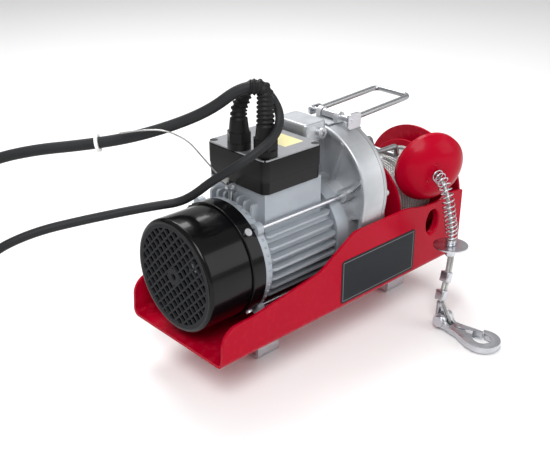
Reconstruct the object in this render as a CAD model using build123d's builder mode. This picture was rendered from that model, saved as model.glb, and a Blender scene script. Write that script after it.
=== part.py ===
from build123d import *
import os
from math import cos, pi, radians, sin, sqrt, tan

os.makedirs("parts", exist_ok=True)

# Small electric wire rope hoist, standing on its two mounting straps. Millimetres, +Z up.
# +X runs from the motor's fan to the drum, and the rope's free end hangs on the -Y side.
# The origin is the middle of the front mounting strap's underside.

# ---------------------------------------------------------------- driving dimensions
strap_depth = 50.0
sheet = 3.0
bend_radius = 5.0
frame_length = 381.0
frame_width = 150.0
wall_height = 95.0
front_x = -102.5
rear_x = front_x + frame_length
base_z = strap_depth
deck_z = base_z + sheet
inner_y = frame_width / 2 - sheet
shaft_z = base_z + 74.5
running_gap = 0.05
snug_gap = 0.02

cover_radius = 60.5
skirt_radius = 63.0
rod_radius = 2.5
rod_circle = 63.0
rod_angles = (45, 135, 225, 315)

gear_centres = 40.0
motor_pinion_teeth = 10
first_gear_teeth = 70
first_module = 1.0
second_pinion_teeth = 11
drum_gear_teeth = 53
second_module = 1.25

bail_radius = 3.0
slack_shaft_radius = 3.6
slack_pivot_x = front_x + 248
slack_pivot_z = base_z + 141.0

drum_core = 30.0
drum_flange = 57.0
rope_radius = 2.25
wound_radius = 43.5
rope_turns = 16

control_radius = 5.8
mains_radius = 4.5
strain_radius = 0.8


def station(distance):
    """X of a point this far behind the frame's front edge."""
    return front_x + distance


def cross_plane(distance):
    """Plane across the machine, facing the drum, this far behind the front edge."""
    return Plane.YZ.offset(station(distance))


def side_plane(y):
    """Upright lengthwise plane at this Y, with its normal towards -Y."""
    return Plane.XZ.offset(-y)


def around_shaft(radius, angle, height=shaft_z):
    """Y and Z of a point on a circle around a lengthwise axis."""
    return (radius * cos(radians(angle)), height + radius * sin(radians(angle)))


# ---------------------------------------------------------------- sheet steel frame
side_profile = [
    (station(0), base_z + 1),
    (station(2.5), base_z + 43),
    (station(40), base_z + 44.5),
    (station(136), base_z + 59),
    (station(188), base_z + 89.5),
    (station(277), base_z + 89.5),
    (station(310), base_z + 82.2),
    (station(337), base_z + 81.8),
    (station(352), base_z + 88),
    (station(381), base_z + 84),
    (station(381), base_z + 1),
]
side_rounding = [20, 60, 40, 18, 50, 40, 12, 10, 2]
oval_x = station(325)
oval_z = base_z + 58
oval_half_width = 11.5
oval_half_height = 16.0
oval_lip = 2.5
oval_collar = 5.0
strap_stations = (102.5, 320.5)
strap_bolt_y = 41.0
foot_stations = (212, 229)
foot_y = 30.0

with BuildPart() as frame_channel:
    with BuildSketch(cross_plane(0)):
        with Locations((0, base_z + wall_height / 2)):
            Rectangle(frame_width, wall_height)
        with Locations((0, deck_z + wall_height / 2)):
            Rectangle(frame_width - 2 * sheet, wall_height, mode=Mode.SUBTRACT)
        fillet(vertices().group_by(Axis.Y)[0], bend_radius + sheet)
        fillet(vertices().group_by(Axis.Y)[1], bend_radius)
    extrude(amount=frame_length)
    with BuildSketch(side_plane(frame_width)):
        with BuildLine():
            FilletPolyline(*side_profile, radius=side_rounding)
            Polyline(side_profile[-1], (rear_x, 0), (front_x, 0), side_profile[0])
        make_face()
    extrude(amount=2 * frame_width, mode=Mode.INTERSECT)
    for side in (-1, 1):
        with BuildSketch(side_plane(side * inner_y)):
            with Locations((oval_x, oval_z)):
                Ellipse(oval_half_width + oval_lip, oval_half_height + oval_lip)
        extrude(amount=side * oval_collar)
        with BuildSketch(side_plane(side * frame_width / 2)):
            with Locations((oval_x, oval_z)):
                Ellipse(oval_half_width, oval_half_height)
        extrude(amount=side * (sheet + oval_collar), mode=Mode.SUBTRACT)
    mouths = edges().filter_by(GeomType.ELLIPSE).group_by(Axis.Y)
    fillet(mouths[0] + mouths[-1], 2.2)
    for distance in strap_stations:
        with Locations(
            (station(distance), -strap_bolt_y, base_z), (station(distance), strap_bolt_y, base_z)
        ):
            Cylinder(4.2, 4 * sheet, mode=Mode.SUBTRACT)
    for distance in foot_stations:
        with Locations((station(distance), -foot_y, base_z), (station(distance), foot_y, base_z)):
            Cylinder(3.2, 4 * sheet, mode=Mode.SUBTRACT)
frame_channel.part.label = "frame_channel"
export_step(frame_channel.part, "parts/frame_channel.step")

# End plate welded across the drum end, with the outer drum bearing bolted to its outside.
end_plate_radius = 71.5
bearing_bolt_circle = 28.5
bearing_bolt_angles = (90, 210, 330)
bearing_bolts = [around_shaft(bearing_bolt_circle, angle) for angle in bearing_bolt_angles]

with BuildPart() as end_plate:
    with BuildSketch(cross_plane(frame_length - sheet)):
        with Locations((0, (deck_z + shaft_z) / 2)):
            Rectangle(2 * inner_y, shaft_z - deck_z)
        fillet(vertices().group_by(Axis.Y)[0], bend_radius + 1)
        with Locations((0, shaft_z)):
            Circle(end_plate_radius)
            Circle(18, mode=Mode.SUBTRACT)
        with Locations(*bearing_bolts):
            Circle(2.7, mode=Mode.SUBTRACT)
    extrude(amount=sheet)
end_plate.part.label = "end_plate"
export_step(end_plate.part, "parts/end_plate.step")

with BuildPart() as end_bearing_housing:
    with BuildSketch(cross_plane(frame_length)):
        with Locations((0, shaft_z)):
            Circle(33)
    extrude(amount=4)
    with BuildSketch(cross_plane(frame_length)):
        with Locations((0, shaft_z)):
            Circle(24)
    extrude(amount=16)
    fillet(edges().group_by(Axis.X)[-1], 3)
    with BuildSketch(cross_plane(frame_length)):
        with Locations((0, shaft_z)):
            Circle(20 + snug_gap)
    extrude(amount=13, mode=Mode.SUBTRACT)
    with BuildSketch(cross_plane(frame_length)):
        with Locations(*bearing_bolts):
            Circle(2.7)
    extrude(amount=4, mode=Mode.SUBTRACT)
end_bearing_housing.part.label = "end_bearing_housing"
export_step(end_bearing_housing.part, "parts/end_bearing_housing.step")

with BuildPart() as end_bearing_screws:
    with BuildSketch(cross_plane(frame_length - sheet - 4)):
        with Locations(*bearing_bolts):
            Circle(2.5)
    extrude(amount=sheet + 8)
    with BuildSketch(cross_plane(frame_length + 4)):
        with Locations(*bearing_bolts):
            RegularPolygon(4.2, 6)
    extrude(amount=3.6)

# Dark data panels on the two side walls.
panel_length = 124.0
panel_height = 52.0
with BuildPart() as side_panels:
    for side in (-1, 1):
        with BuildSketch(side_plane(side * frame_width / 2)):
            with Locations((station(230.5), base_z + 34)):
                RectangleRounded(panel_length, panel_height, 4)
        extrude(amount=-side * 0.5)
side_panels.part.label = "side_panels"
export_step(side_panels.part, "parts/side_panels.step")

# ---------------------------------------------------------------- mounting straps
strap_width = 31.0
strap_sheet = 4.0
strap_half = 30.0
strap_flange = 22.0


def strap(distance):
    """Hat-shaped strap that holds the hoist to a square tube under the frame."""
    with BuildPart() as made:
        with BuildSketch(cross_plane(distance - strap_width / 2)):
            with BuildLine():
                FilletPolyline(
                    (-strap_half - strap_flange, base_z),
                    (-strap_half + strap_sheet, base_z),
                    (-strap_half + strap_sheet, strap_sheet),
                    (strap_half - strap_sheet, strap_sheet),
                    (strap_half - strap_sheet, base_z),
                    (strap_half + strap_flange, base_z),
                    (strap_half + strap_flange, base_z - strap_sheet),
                    (strap_half, base_z - strap_sheet),
                    (strap_half, 0),
                    (-strap_half, 0),
                    (-strap_half, base_z - strap_sheet),
                    (-strap_half - strap_flange, base_z - strap_sheet),
                    radius=[6, 2, 2, 6, 0, 0, 2, 6, 6, 2],
                )
                Line(
                    (-strap_half - strap_flange, base_z - strap_sheet),
                    (-strap_half - strap_flange, base_z),
                )
            make_face()
        extrude(amount=strap_width)
        with Locations(
            (station(distance), -strap_bolt_y, base_z), (station(distance), strap_bolt_y, base_z)
        ):
            Cylinder(4.2, 4 * strap_sheet, mode=Mode.SUBTRACT)
    return made


mounting_strap_front = strap(strap_stations[0])

mounting_strap_rear = strap(strap_stations[1])

strap_bolt_points = [(station(d), y) for d in strap_stations for y in (-strap_bolt_y, strap_bolt_y)]
with BuildPart() as strap_bolts:
    with BuildSketch(Plane.XY.offset(base_z - strap_sheet - 5.3)):
        with Locations(*strap_bolt_points):
            RegularPolygon(7.4, 6)
    extrude(amount=5.3)
    with BuildSketch(Plane.XY.offset(base_z - strap_sheet)):
        with Locations(*strap_bolt_points):
            Circle(4)
    extrude(amount=16)

with BuildPart() as strap_nuts:
    with BuildSketch(Plane.XY.offset(deck_z)):
        with Locations(*strap_bolt_points):
            RegularPolygon(7.4, 6)
            Circle(4 + snug_gap, mode=Mode.SUBTRACT)
    extrude(amount=6.5)

# ---------------------------------------------------------------- fan cover and grille
cover_wall = 2.0
skirt_start = 54.0
skirt_end = 70.0
grille_radius = 55.5

with BuildPart() as fan_cover:
    with BuildSketch(Plane.XZ):
        with BuildLine():
            FilletPolyline(
                (station(1.6), shaft_z + grille_radius + snug_gap),
                (station(1.6), shaft_z + cover_radius),
                (station(skirt_start), shaft_z + cover_radius),
                (station(skirt_start), shaft_z + skirt_radius),
                (station(skirt_end), shaft_z + skirt_radius),
                (station(skirt_end), shaft_z + skirt_radius - cover_wall),
                (station(skirt_start + 3), shaft_z + skirt_radius - cover_wall),
                (station(skirt_start), shaft_z + cover_radius - cover_wall),
                (station(5.6), shaft_z + cover_radius - cover_wall),
                (station(5.6), shaft_z + grille_radius - 2.5),
                (station(4.1), shaft_z + grille_radius - 2.5),
                (station(4.1), shaft_z + grille_radius + snug_gap),
                radius=[4, 0, 1, 0, 0, 0, 0, 0, 0, 0],
            )
            Line(
                (station(4.1), shaft_z + grille_radius + snug_gap),
                (station(1.6), shaft_z + grille_radius + snug_gap),
            )
        make_face()
    revolve(axis=Axis((0, 0, shaft_z), (1, 0, 0)))
    for angle in rod_angles:
        outward = Vector(0, cos(radians(angle)), sin(radians(angle)))
        foot = Vector(station(62), 0, shaft_z) + outward * (skirt_radius - 5)
        with BuildSketch(Plane(foot, z_dir=outward)):
            Circle(2.2)
        extrude(amount=10, mode=Mode.SUBTRACT)
fan_cover.part.label = "fan_cover"
export_step(fan_cover.part, "parts/fan_cover.step")

# Flat grille of crossed ribs, snapped into the cover's front ring.
rib_pitch = 8.6
rib_width = 2.1
rib_count = 13
grille_thickness = 2.5
with BuildPart() as fan_grille:
    with BuildSketch(cross_plane(1.6)):
        with Locations((0, shaft_z)):
            Circle(grille_radius)
    extrude(amount=grille_thickness)
    with BuildSketch(cross_plane(1.6)):
        with Locations((0, shaft_z)):
            Circle(grille_radius - 4)
            Circle(9, mode=Mode.SUBTRACT)
        for turn in (45, -45):
            with Locations(Location((0, shaft_z), turn)):
                with GridLocations(rib_pitch, 1, rib_count, 1):
                    Rectangle(rib_width, 2.2 * grille_radius, mode=Mode.SUBTRACT)
    extrude(amount=grille_thickness, mode=Mode.SUBTRACT)
    with BuildSketch(cross_plane(1.6)):
        with Locations((0, shaft_z)):
            Circle(3.5)
    extrude(amount=grille_thickness, mode=Mode.SUBTRACT)
fan_grille.part.label = "fan_grille"
export_step(fan_grille.part, "parts/fan_grille.step")

with BuildPart() as fan_cover_screws:
    for angle in rod_angles:
        outward = Vector(0, cos(radians(angle)), sin(radians(angle)))
        seat = Vector(station(62), 0, shaft_z) + outward * skirt_radius
        with BuildSketch(Plane(seat, z_dir=outward)):
            Circle(4)
        extrude(amount=2)
        with BuildSketch(Plane(seat - outward * 6, z_dir=outward)):
            Circle(1.9)
        extrude(amount=6)

# ---------------------------------------------------------------- motor
shaft_radius = 6.0
front_bearing = (60.0, 70.0)
rear_bearing = (205.5, 214.5)
bearing_outer = 16.0

with BuildPart() as motor_end_shield:
    with BuildSketch(cross_plane(70)):
        with Locations((0, shaft_z)):
            Circle(62)
            Circle(7, mode=Mode.SUBTRACT)
        with Locations(*[around_shaft(rod_circle, a) for a in rod_angles]):
            Circle(7)
            Circle(rod_radius + snug_gap, mode=Mode.SUBTRACT)
    extrude(amount=8)
    with BuildSketch(cross_plane(57)):
        with Locations((0, shaft_z)):
            Circle(skirt_radius - cover_wall - 0.1)
            Circle(54, mode=Mode.SUBTRACT)
    extrude(amount=13)
    with BuildSketch(cross_plane(60)):
        with Locations((0, shaft_z)):
            Circle(bearing_outer + 4)
            Circle(bearing_outer + snug_gap, mode=Mode.SUBTRACT)
    extrude(amount=10)
    for angle in rod_angles:
        outward = Vector(0, cos(radians(angle)), sin(radians(angle)))
        foot = Vector(station(62), 0, shaft_z) + outward * 50
        with BuildSketch(Plane(foot, z_dir=outward)):
            Circle(1.9 + snug_gap)
        extrude(amount=14, mode=Mode.SUBTRACT)
    notch = [around_shaft(62, 7.5 * step + 3.75) for step in range(48)]
    with BuildSketch(cross_plane(74.5)):
        with Locations(*notch):
            Circle(1.3)
    extrude(amount=3.5, mode=Mode.SUBTRACT)
motor_end_shield.part.label = "motor_end_shield"
export_step(motor_end_shield.part, "parts/motor_end_shield.step")

# Finned aluminium housing with the flat-sided pedestal that carries the terminal box.
housing_radius = 50.0
housing_bore = 45.0
fin_pitch = 11.0
fin_reach = 59.0
fin_root = 1.4
fin_start = 80.0
fin_end = 181.0
box_centre_x = station(125.5)
pedestal_top = base_z + 151
pedestal_half = 42.0
top_fin_steps = (-3, -2, -1, 0, 1, 2, 3)

with BuildPart() as motor_housing:
    with BuildSketch(cross_plane(78)):
        with Locations((0, shaft_z)):
            Circle(housing_radius)
    extrude(amount=119)
    with BuildSketch(cross_plane(fin_end)):
        with Locations((0, shaft_z)):
            Circle(57)
    extrude(amount=16)
    with BuildSketch(cross_plane(78)):
        with Locations((0, shaft_z)):
            Circle(60)
    extrude(amount=3)
    for side in (-1, 1):
        for step in range(-3, 4):
            reach = sqrt(fin_reach**2 - (step * fin_pitch) ** 2)
            with BuildSketch(Plane.XY.offset(shaft_z + step * fin_pitch - fin_root)):
                with Locations((station((fin_start + fin_end) / 2), side * reach / 2)):
                    Rectangle(fin_end - fin_start - 4, reach)
                outer = vertices().sort_by(Axis.Y)
                fillet(outer[:2] if side < 0 else outer[2:], 7)
            extrude(amount=2 * fin_root)
    with BuildSketch(Plane.XY.offset(shaft_z + 30)):
        with Locations((box_centre_x + 2, 0)):
            Rectangle(80, 2 * pedestal_half)
    extrude(amount=pedestal_top - shaft_z - 30)
    for step in top_fin_steps:
        with BuildSketch(side_plane(step * 10.5 + 1.6)):
            with Locations((station(84), shaft_z + 45)):
                Rectangle(12, 46 - 2.2 * abs(step))
                fillet(vertices().sort_by(Axis.Y)[-2:], 4)
        extrude(amount=3.2)
    with BuildSketch(cross_plane(78)):
        with Locations((0, shaft_z)):
            Circle(housing_bore)
    extrude(amount=119, mode=Mode.SUBTRACT)
    with BuildSketch(Plane.XY.offset(shaft_z + 20)):
        with Locations((box_centre_x, 0)):
            RectangleRounded(56, 60, 6)
    extrude(amount=pedestal_top - shaft_z - 20, mode=Mode.SUBTRACT)
motor_housing.part.label = "motor_housing"
export_step(motor_housing.part, "parts/motor_housing.step")

stator_bore = 30.0
with BuildPart() as stator_core:
    with BuildSketch(cross_plane(100)):
        with Locations((0, shaft_z)):
            Circle(housing_bore - snug_gap)
            Circle(stator_bore, mode=Mode.SUBTRACT)
        slots = [around_shaft(stator_bore + 6, 15 * step) for step in range(24)]
        with Locations(*slots):
            Circle(2.4, mode=Mode.SUBTRACT)
    extrude(amount=60)
stator_core.part.label = "stator_core"
export_step(stator_core.part, "parts/stator_core.step")

with BuildPart() as stator_windings:
    for start in (86, 160):
        with BuildSketch(cross_plane(start)):
            with Locations((0, shaft_z)):
                Circle(42)
                Circle(32, mode=Mode.SUBTRACT)
        extrude(amount=14)
    fillet(edges().filter_by(GeomType.CIRCLE), 3)
stator_windings.part.label = "stator_windings"
export_step(stator_windings.part, "parts/stator_windings.step")

with BuildPart() as rotor_core:
    with BuildSketch(cross_plane(100)):
        with Locations((0, shaft_z)):
            Circle(stator_bore - 0.5)
            Circle(6, mode=Mode.SUBTRACT)
    extrude(amount=60)


def toothed_wheel(teeth, module, turn=0.0):
    """Gear outline on the current sketch: straight-flanked teeth with running backlash."""
    pitch = teeth * module / 2
    tooth_half = 0.25 * pi * module - 0.14 * module
    corners = (
        (pitch - 1.25 * module, tooth_half + 0.34 * module),
        (pitch, tooth_half),
        (pitch + 0.9 * module, tooth_half - 0.30 * module),
    )
    rising = [(radius, -half) for radius, half in corners]
    falling = [(radius, half) for radius, half in reversed(corners)]
    outline = []
    for index in range(teeth):
        middle = radians(turn + index * 360 / teeth)
        for radius, half in rising + falling:
            angle = middle + half / radius
            outline.append((radius * cos(angle), radius * sin(angle)))
    Polygon(*outline, align=None)


# Shaft axes in the gearbox: motor and drum share one, and the countershaft lies above it.
counter_z = shaft_z + gear_centres

with BuildPart() as rotor_shaft:
    with BuildSketch(cross_plane(26)):
        with Locations((0, shaft_z)):
            Circle(shaft_radius)
    extrude(amount=192.5)
    with BuildSketch(cross_plane(88)):
        with Locations((0, shaft_z)):
            Circle(8)
    extrude(amount=84)
    with BuildSketch(Plane(origin=(station(218.5), 0, shaft_z), x_dir=(0, 1, 0), z_dir=(1, 0, 0))):
        toothed_wheel(motor_pinion_teeth, first_module, 90)
    extrude(amount=10.5)

with BuildPart() as motor_bearings:
    for start, end in (front_bearing, rear_bearing):
        with BuildSketch(cross_plane(start)):
            with Locations((0, shaft_z)):
                Circle(bearing_outer)
                Circle(shaft_radius + running_gap, mode=Mode.SUBTRACT)
        extrude(amount=end - start)

with BuildPart() as cooling_fan:
    with BuildSketch(cross_plane(30)):
        with Locations((0, shaft_z)):
            Circle(14)
            Circle(shaft_radius + snug_gap, mode=Mode.SUBTRACT)
    extrude(amount=18)
    with BuildSketch(cross_plane(45)):
        with Locations((0, shaft_z)):
            Circle(46)
            Circle(13, mode=Mode.SUBTRACT)
    extrude(amount=2)
    for blade in range(8):
        with BuildSketch(Plane(origin=(station(30), 0, shaft_z), x_dir=(0, 1, 0), z_dir=(1, 0, 0))):
            with Locations(Location((0, 0), blade * 45)):
                with Locations((30, 0)):
                    Rectangle(36, 2.2)
        extrude(amount=16)
cooling_fan.part.label = "cooling_fan"
export_step(cooling_fan.part, "parts/cooling_fan.step")

with BuildPart() as tie_rods:
    with BuildSketch(cross_plane(72)):
        with Locations(*[around_shaft(rod_circle, a) for a in rod_angles]):
            Circle(rod_radius)
    extrude(amount=140)
tie_rods.part.label = "tie_rods"
export_step(tie_rods.part, "parts/tie_rods.step")

# ---------------------------------------------------------------- gearbox
case_upper_z = base_z + 116
case_upper_radius = 72.0
case_lower_radius = 66.0
case_wall = 5.0
counter_shaft_radius = 5.0
counter_bearing_outer = 11.0
drum_shaft_radius = 8.5
drum_bearing_outer = 20.0
screw_points = [around_shaft(66, a, case_upper_z) for a in (0, 35, 70, 110, 145, 180)]
screw_points += [around_shaft(60, a) for a in (225, 270, 315)]


def case_outline(inset=0.0):
    """Egg-shaped outline of the gear case on the current sketch."""
    with Locations((0, case_upper_z)):
        Circle(case_upper_radius - inset)
    with Locations((0, shaft_z)):
        Circle(case_lower_radius - inset)
    make_hull()


with BuildPart() as gearbox_housing:
    with BuildSketch(cross_plane(205)):
        case_outline()
    extrude(amount=31)
    fillet(edges().group_by(Axis.X)[0], 2.5)
    with BuildSketch(cross_plane(205)):
        case_outline(case_wall)
    extrude(amount=7, mode=Mode.SUBTRACT)
    with BuildSketch(cross_plane(217)):
        case_outline(case_wall)
    extrude(amount=19, mode=Mode.SUBTRACT)
    with BuildSketch(cross_plane(197)):
        with Locations((0, shaft_z)):
            Circle(57)
        with Locations(*[around_shaft(rod_circle, a) for a in rod_angles]):
            Circle(7)
    extrude(amount=15.5)
    for angle in (20, 45, 70, 90, 110, 135, 160):
        with BuildSketch(cross_plane(204)):
            with Locations(Location((0, shaft_z), angle)):
                with Locations((60, 0)):
                    Rectangle(120, 4)
            with BuildSketch(cross_plane(204), mode=Mode.INTERSECT):
                case_outline(case_wall / 2)
        extrude(amount=8.5)
    with BuildSketch(cross_plane(217)):
        with Locations(*screw_points):
            Circle(6)
        with BuildSketch(cross_plane(217), mode=Mode.INTERSECT):
            case_outline()
    extrude(amount=19)
    for side in (-1, 1):
        with BuildSketch(Plane.XY.offset(deck_z)):
            with Locations((station(220.5), side * foot_y)):
                Rectangle(31, 18)
        extrude(amount=20)
    with BuildSketch(cross_plane(197)):
        with Locations((0, shaft_z)):
            Circle(housing_bore)
    extrude(amount=8, mode=Mode.SUBTRACT)
    with BuildSketch(cross_plane(205)):
        with Locations((0, shaft_z)):
            Circle(bearing_outer + snug_gap)
    extrude(amount=9.5, mode=Mode.SUBTRACT)
    with BuildSketch(cross_plane(205)):
        with Locations((0, shaft_z)):
            Circle(7)
    extrude(amount=14, mode=Mode.SUBTRACT)
    with BuildSketch(cross_plane(212.5)):
        with Locations((0, counter_z)):
            Circle(counter_bearing_outer + snug_gap)
    extrude(amount=5, mode=Mode.SUBTRACT)
    with BuildSketch(cross_plane(197)):
        with Locations(*[around_shaft(rod_circle, a) for a in rod_angles]):
            Circle(rod_radius + snug_gap)
    extrude(amount=15, mode=Mode.SUBTRACT)
    with BuildSketch(cross_plane(218)):
        with Locations(*screw_points):
            Circle(2.5 + snug_gap)
    extrude(amount=18, mode=Mode.SUBTRACT)
    for distance in foot_stations:
        with Locations(
            (station(distance), -foot_y, deck_z + 6), (station(distance), foot_y, deck_z + 6)
        ):
            Cylinder(3 + snug_gap, 12, mode=Mode.SUBTRACT)
gearbox_housing.part.label = "gearbox_housing"
export_step(gearbox_housing.part, "parts/gearbox_housing.step")

foot_points = [(station(d), y) for d in foot_stations for y in (-foot_y, foot_y)]
with BuildPart() as foot_bolts:
    with BuildSketch(Plane.XY.offset(base_z - 4)):
        with Locations(*foot_points):
            RegularPolygon(5.6, 6)
    extrude(amount=4)
    with BuildSketch(Plane.XY.offset(base_z)):
        with Locations(*foot_points):
            Circle(3)
    extrude(amount=14)

with BuildPart() as gearbox_gasket:
    with BuildSketch(cross_plane(236)):
        case_outline(0.3)
        with BuildSketch(cross_plane(236), mode=Mode.SUBTRACT):
            case_outline(case_wall)
        with Locations(*screw_points):
            Circle(2.9, mode=Mode.SUBTRACT)
    extrude(amount=0.8)
gearbox_gasket.part.label = "gearbox_gasket"
export_step(gearbox_gasket.part, "parts/gearbox_gasket.step")

hub_radius = 58.0
with BuildPart() as gearbox_cover:
    with BuildSketch(cross_plane(236.8)):
        case_outline()
    extrude(amount=5.2)
    fillet(edges().group_by(Axis.X)[-1], 1.5)
    with BuildSketch(cross_plane(242)):
        with Locations((0, shaft_z)):
            Circle(hub_radius)
    extrude(amount=20)
    fillet(edges().group_by(Axis.X)[-1], 8)
    with BuildSketch(cross_plane(236.8)):
        with Locations((0, shaft_z)):
            Circle(hub_radius - 7)
    extrude(amount=12.7, mode=Mode.SUBTRACT)
    with BuildSketch(cross_plane(249)):
        with Locations((0, shaft_z)):
            Circle(drum_bearing_outer + snug_gap)
        with Locations((0, counter_z)):
            Circle(counter_bearing_outer - 3 + snug_gap)
    extrude(amount=9, mode=Mode.SUBTRACT)
    with BuildSketch(cross_plane(249)):
        with Locations((0, shaft_z)):
            Circle(drum_shaft_radius + 3)
    extrude(amount=13, mode=Mode.SUBTRACT)
    with BuildSketch(cross_plane(236.8)):
        with Locations(*screw_points):
            Circle(2.7)
    extrude(amount=5.2, mode=Mode.SUBTRACT)
    for y in (-25, 29):
        with BuildSketch(side_plane(y)):
            with Locations((slack_pivot_x - 4, slack_pivot_z)):
                Rectangle(7 + 2 * bail_radius, 12)
            with Locations((slack_pivot_x, slack_pivot_z)):
                Circle(6)
        extrude(amount=4)
        with BuildSketch(side_plane(y + 1)):
            with Locations((slack_pivot_x, slack_pivot_z)):
                Circle(slack_shaft_radius + running_gap)
        extrude(amount=6, mode=Mode.SUBTRACT)
gearbox_cover.part.label = "gearbox_cover"
export_step(gearbox_cover.part, "parts/gearbox_cover.step")

with BuildPart() as gearbox_screws:
    with BuildSketch(cross_plane(242)):
        with Locations(*screw_points):
            Circle(4.3)
    extrude(amount=4.6)
    with BuildSketch(cross_plane(245)):
        with Locations(*screw_points):
            RegularPolygon(2.3, 6)
    extrude(amount=1.6, mode=Mode.SUBTRACT)
    with BuildSketch(cross_plane(221)):
        with Locations(*screw_points):
            Circle(2.5)
    extrude(amount=21)

counter_plane = Plane(origin=(station(219.5), 0, counter_z), x_dir=(0, 1, 0), z_dir=(1, 0, 0))
with BuildPart() as countershaft:
    with BuildSketch(counter_plane):
        toothed_wheel(first_gear_teeth, first_module, 90 + 180 / first_gear_teeth)
        with Locations(*[(22 * cos(radians(a)), 22 * sin(radians(a))) for a in range(0, 360, 60)]):
            Circle(6, mode=Mode.SUBTRACT)
    extrude(amount=8.5)
    with BuildSketch(counter_plane.offset(8.5)):
        toothed_wheel(second_pinion_teeth, second_module, 90)
    extrude(amount=18)
    with BuildSketch(cross_plane(213)):
        with Locations((0, counter_z)):
            Circle(counter_shaft_radius)
    extrude(amount=7)
    with BuildSketch(cross_plane(245.5)):
        with Locations((0, counter_z)):
            Circle(counter_shaft_radius)
    extrude(amount=12)
countershaft.part.label = "countershaft"
export_step(countershaft.part, "parts/countershaft.step")

with BuildPart() as countershaft_bearings:
    with BuildSketch(cross_plane(213)):
        with Locations((0, counter_z)):
            Circle(counter_bearing_outer)
            Circle(counter_shaft_radius + running_gap, mode=Mode.SUBTRACT)
    extrude(amount=4)
    with BuildSketch(cross_plane(249.5)):
        with Locations((0, counter_z)):
            Circle(counter_bearing_outer - 3)
            Circle(counter_shaft_radius + running_gap, mode=Mode.SUBTRACT)
    extrude(amount=8)

drum_gear_plane = Plane(origin=(station(231), 0, shaft_z), x_dir=(0, 1, 0), z_dir=(1, 0, 0))
with BuildPart() as drum_gear:
    with BuildSketch(drum_gear_plane):
        toothed_wheel(drum_gear_teeth, second_module, 90)
        Circle(drum_shaft_radius + snug_gap, mode=Mode.SUBTRACT)
    extrude(amount=13)
drum_gear.part.label = "drum_gear"
export_step(drum_gear.part, "parts/drum_gear.step")

# ---------------------------------------------------------------- drum
drum_start = 285.0
drum_end = 365.0
with BuildPart() as drum_shaft:
    with BuildSketch(cross_plane(230.5)):
        with Locations((0, shaft_z)):
            Circle(drum_shaft_radius)
    extrude(amount=162)
drum_shaft.part.label = "drum_shaft"
export_step(drum_shaft.part, "parts/drum_shaft.step")

with BuildPart() as drum_bearings:
    for start, end in ((249.5, 257.8), (381.2, 393)):
        with BuildSketch(cross_plane(start)):
            with Locations((0, shaft_z)):
                Circle(drum_bearing_outer)
                Circle(drum_shaft_radius + running_gap, mode=Mode.SUBTRACT)
        extrude(amount=end - start)

with BuildPart() as drum:
    with BuildSketch(cross_plane(drum_start)):
        with Locations((0, shaft_z)):
            Circle(drum_flange)
    extrude(amount=3)
    with BuildSketch(cross_plane(drum_end - 3)):
        with Locations((0, shaft_z)):
            Circle(drum_flange)
    extrude(amount=3)
    fillet(edges().filter_by(GeomType.CIRCLE), 1.2)
    with BuildSketch(cross_plane(drum_start + 3)):
        with Locations((0, shaft_z)):
            Circle(drum_core)
    extrude(amount=drum_end - drum_start - 6)
    with BuildSketch(cross_plane(drum_start + 3)):
        with Locations((0, shaft_z)):
            Circle(drum_core - 4)
            Circle(14, mode=Mode.SUBTRACT)
    extrude(amount=drum_end - drum_start - 6, mode=Mode.SUBTRACT)
    with BuildSketch(cross_plane(drum_start - 8)):
        with Locations((0, shaft_z)):
            Circle(14)
    extrude(amount=drum_end - drum_start + 14)
    with BuildSketch(cross_plane(drum_start - 8)):
        with Locations((0, shaft_z)):
            Circle(drum_shaft_radius + snug_gap)
    extrude(amount=drum_end - drum_start + 14, mode=Mode.SUBTRACT)
drum.part.label = "drum"
export_step(drum.part, "parts/drum.step")

# Full layers of rope on the drum, as one ring with a round crest for each turn.
turn_pitch = (drum_end - drum_start - 6.6) / rope_turns
first_turn_x = station(drum_start + 3.3)
with BuildPart() as wound_rope:
    with BuildSketch(Plane.XZ):
        with BuildLine():
            valley_z = shaft_z + wound_radius
            for turn in range(rope_turns):
                left = first_turn_x + turn * turn_pitch
                ThreePointArc(
                    (left, valley_z),
                    (left + turn_pitch / 2, valley_z + rope_radius),
                    (left + turn_pitch, valley_z),
                )
            right_x = first_turn_x + rope_turns * turn_pitch
            inner_z = shaft_z + drum_core + snug_gap
            Polyline(
                (right_x, valley_z), (right_x, inner_z), (first_turn_x, inner_z), (first_turn_x, valley_z)
            )
        make_face()
    revolve(axis=Axis((0, 0, shaft_z), (1, 0, 0)))
wound_rope.part.label = "wound_rope"
export_step(wound_rope.part, "parts/wound_rope.step")

# ---------------------------------------------------------------- terminal box
box_length = 81.0
box_width = 90.0
box_seam = base_z + 165
box_top = base_z + 186
plate_thickness = 1.6
box_screw_points = [
    (box_centre_x + sx * (box_length / 2 - 5.6), sy * (box_width / 2 - 5.6)) for sx in (-1, 1) for sy in (-1, 1)
]
gland_a = (station(99), -31.0)
gland_b = (station(94), 3.0)

with BuildPart() as terminal_box:
    with BuildSketch(Plane.XY.offset(pedestal_top)):
        with Locations((box_centre_x, 0)):
            RectangleRounded(box_length - 1.5, box_width - 1.5, 7)
    extrude(amount=box_seam - pedestal_top, taper=-2)
    with BuildSketch(Plane.XY.offset(pedestal_top + 3)):
        with Locations((box_centre_x, 0)):
            RectangleRounded(box_length - 8, box_width - 8, 5)
    extrude(amount=box_seam - pedestal_top - 3, mode=Mode.SUBTRACT)
    with BuildSketch(Plane.XY.offset(pedestal_top)):
        with Locations((box_centre_x, 0)):
            RectangleRounded(40, 50, 5)
    extrude(amount=3, mode=Mode.SUBTRACT)
    with BuildSketch(Plane.XY.offset(pedestal_top)):
        with Locations(*box_screw_points):
            Circle(3.6)
    extrude(amount=box_seam - pedestal_top)
    with BuildSketch(Plane.XY.offset(pedestal_top + 4)):
        with Locations(*box_screw_points):
            Circle(1.9)
    extrude(amount=box_seam - pedestal_top - 4, mode=Mode.SUBTRACT)
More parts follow.
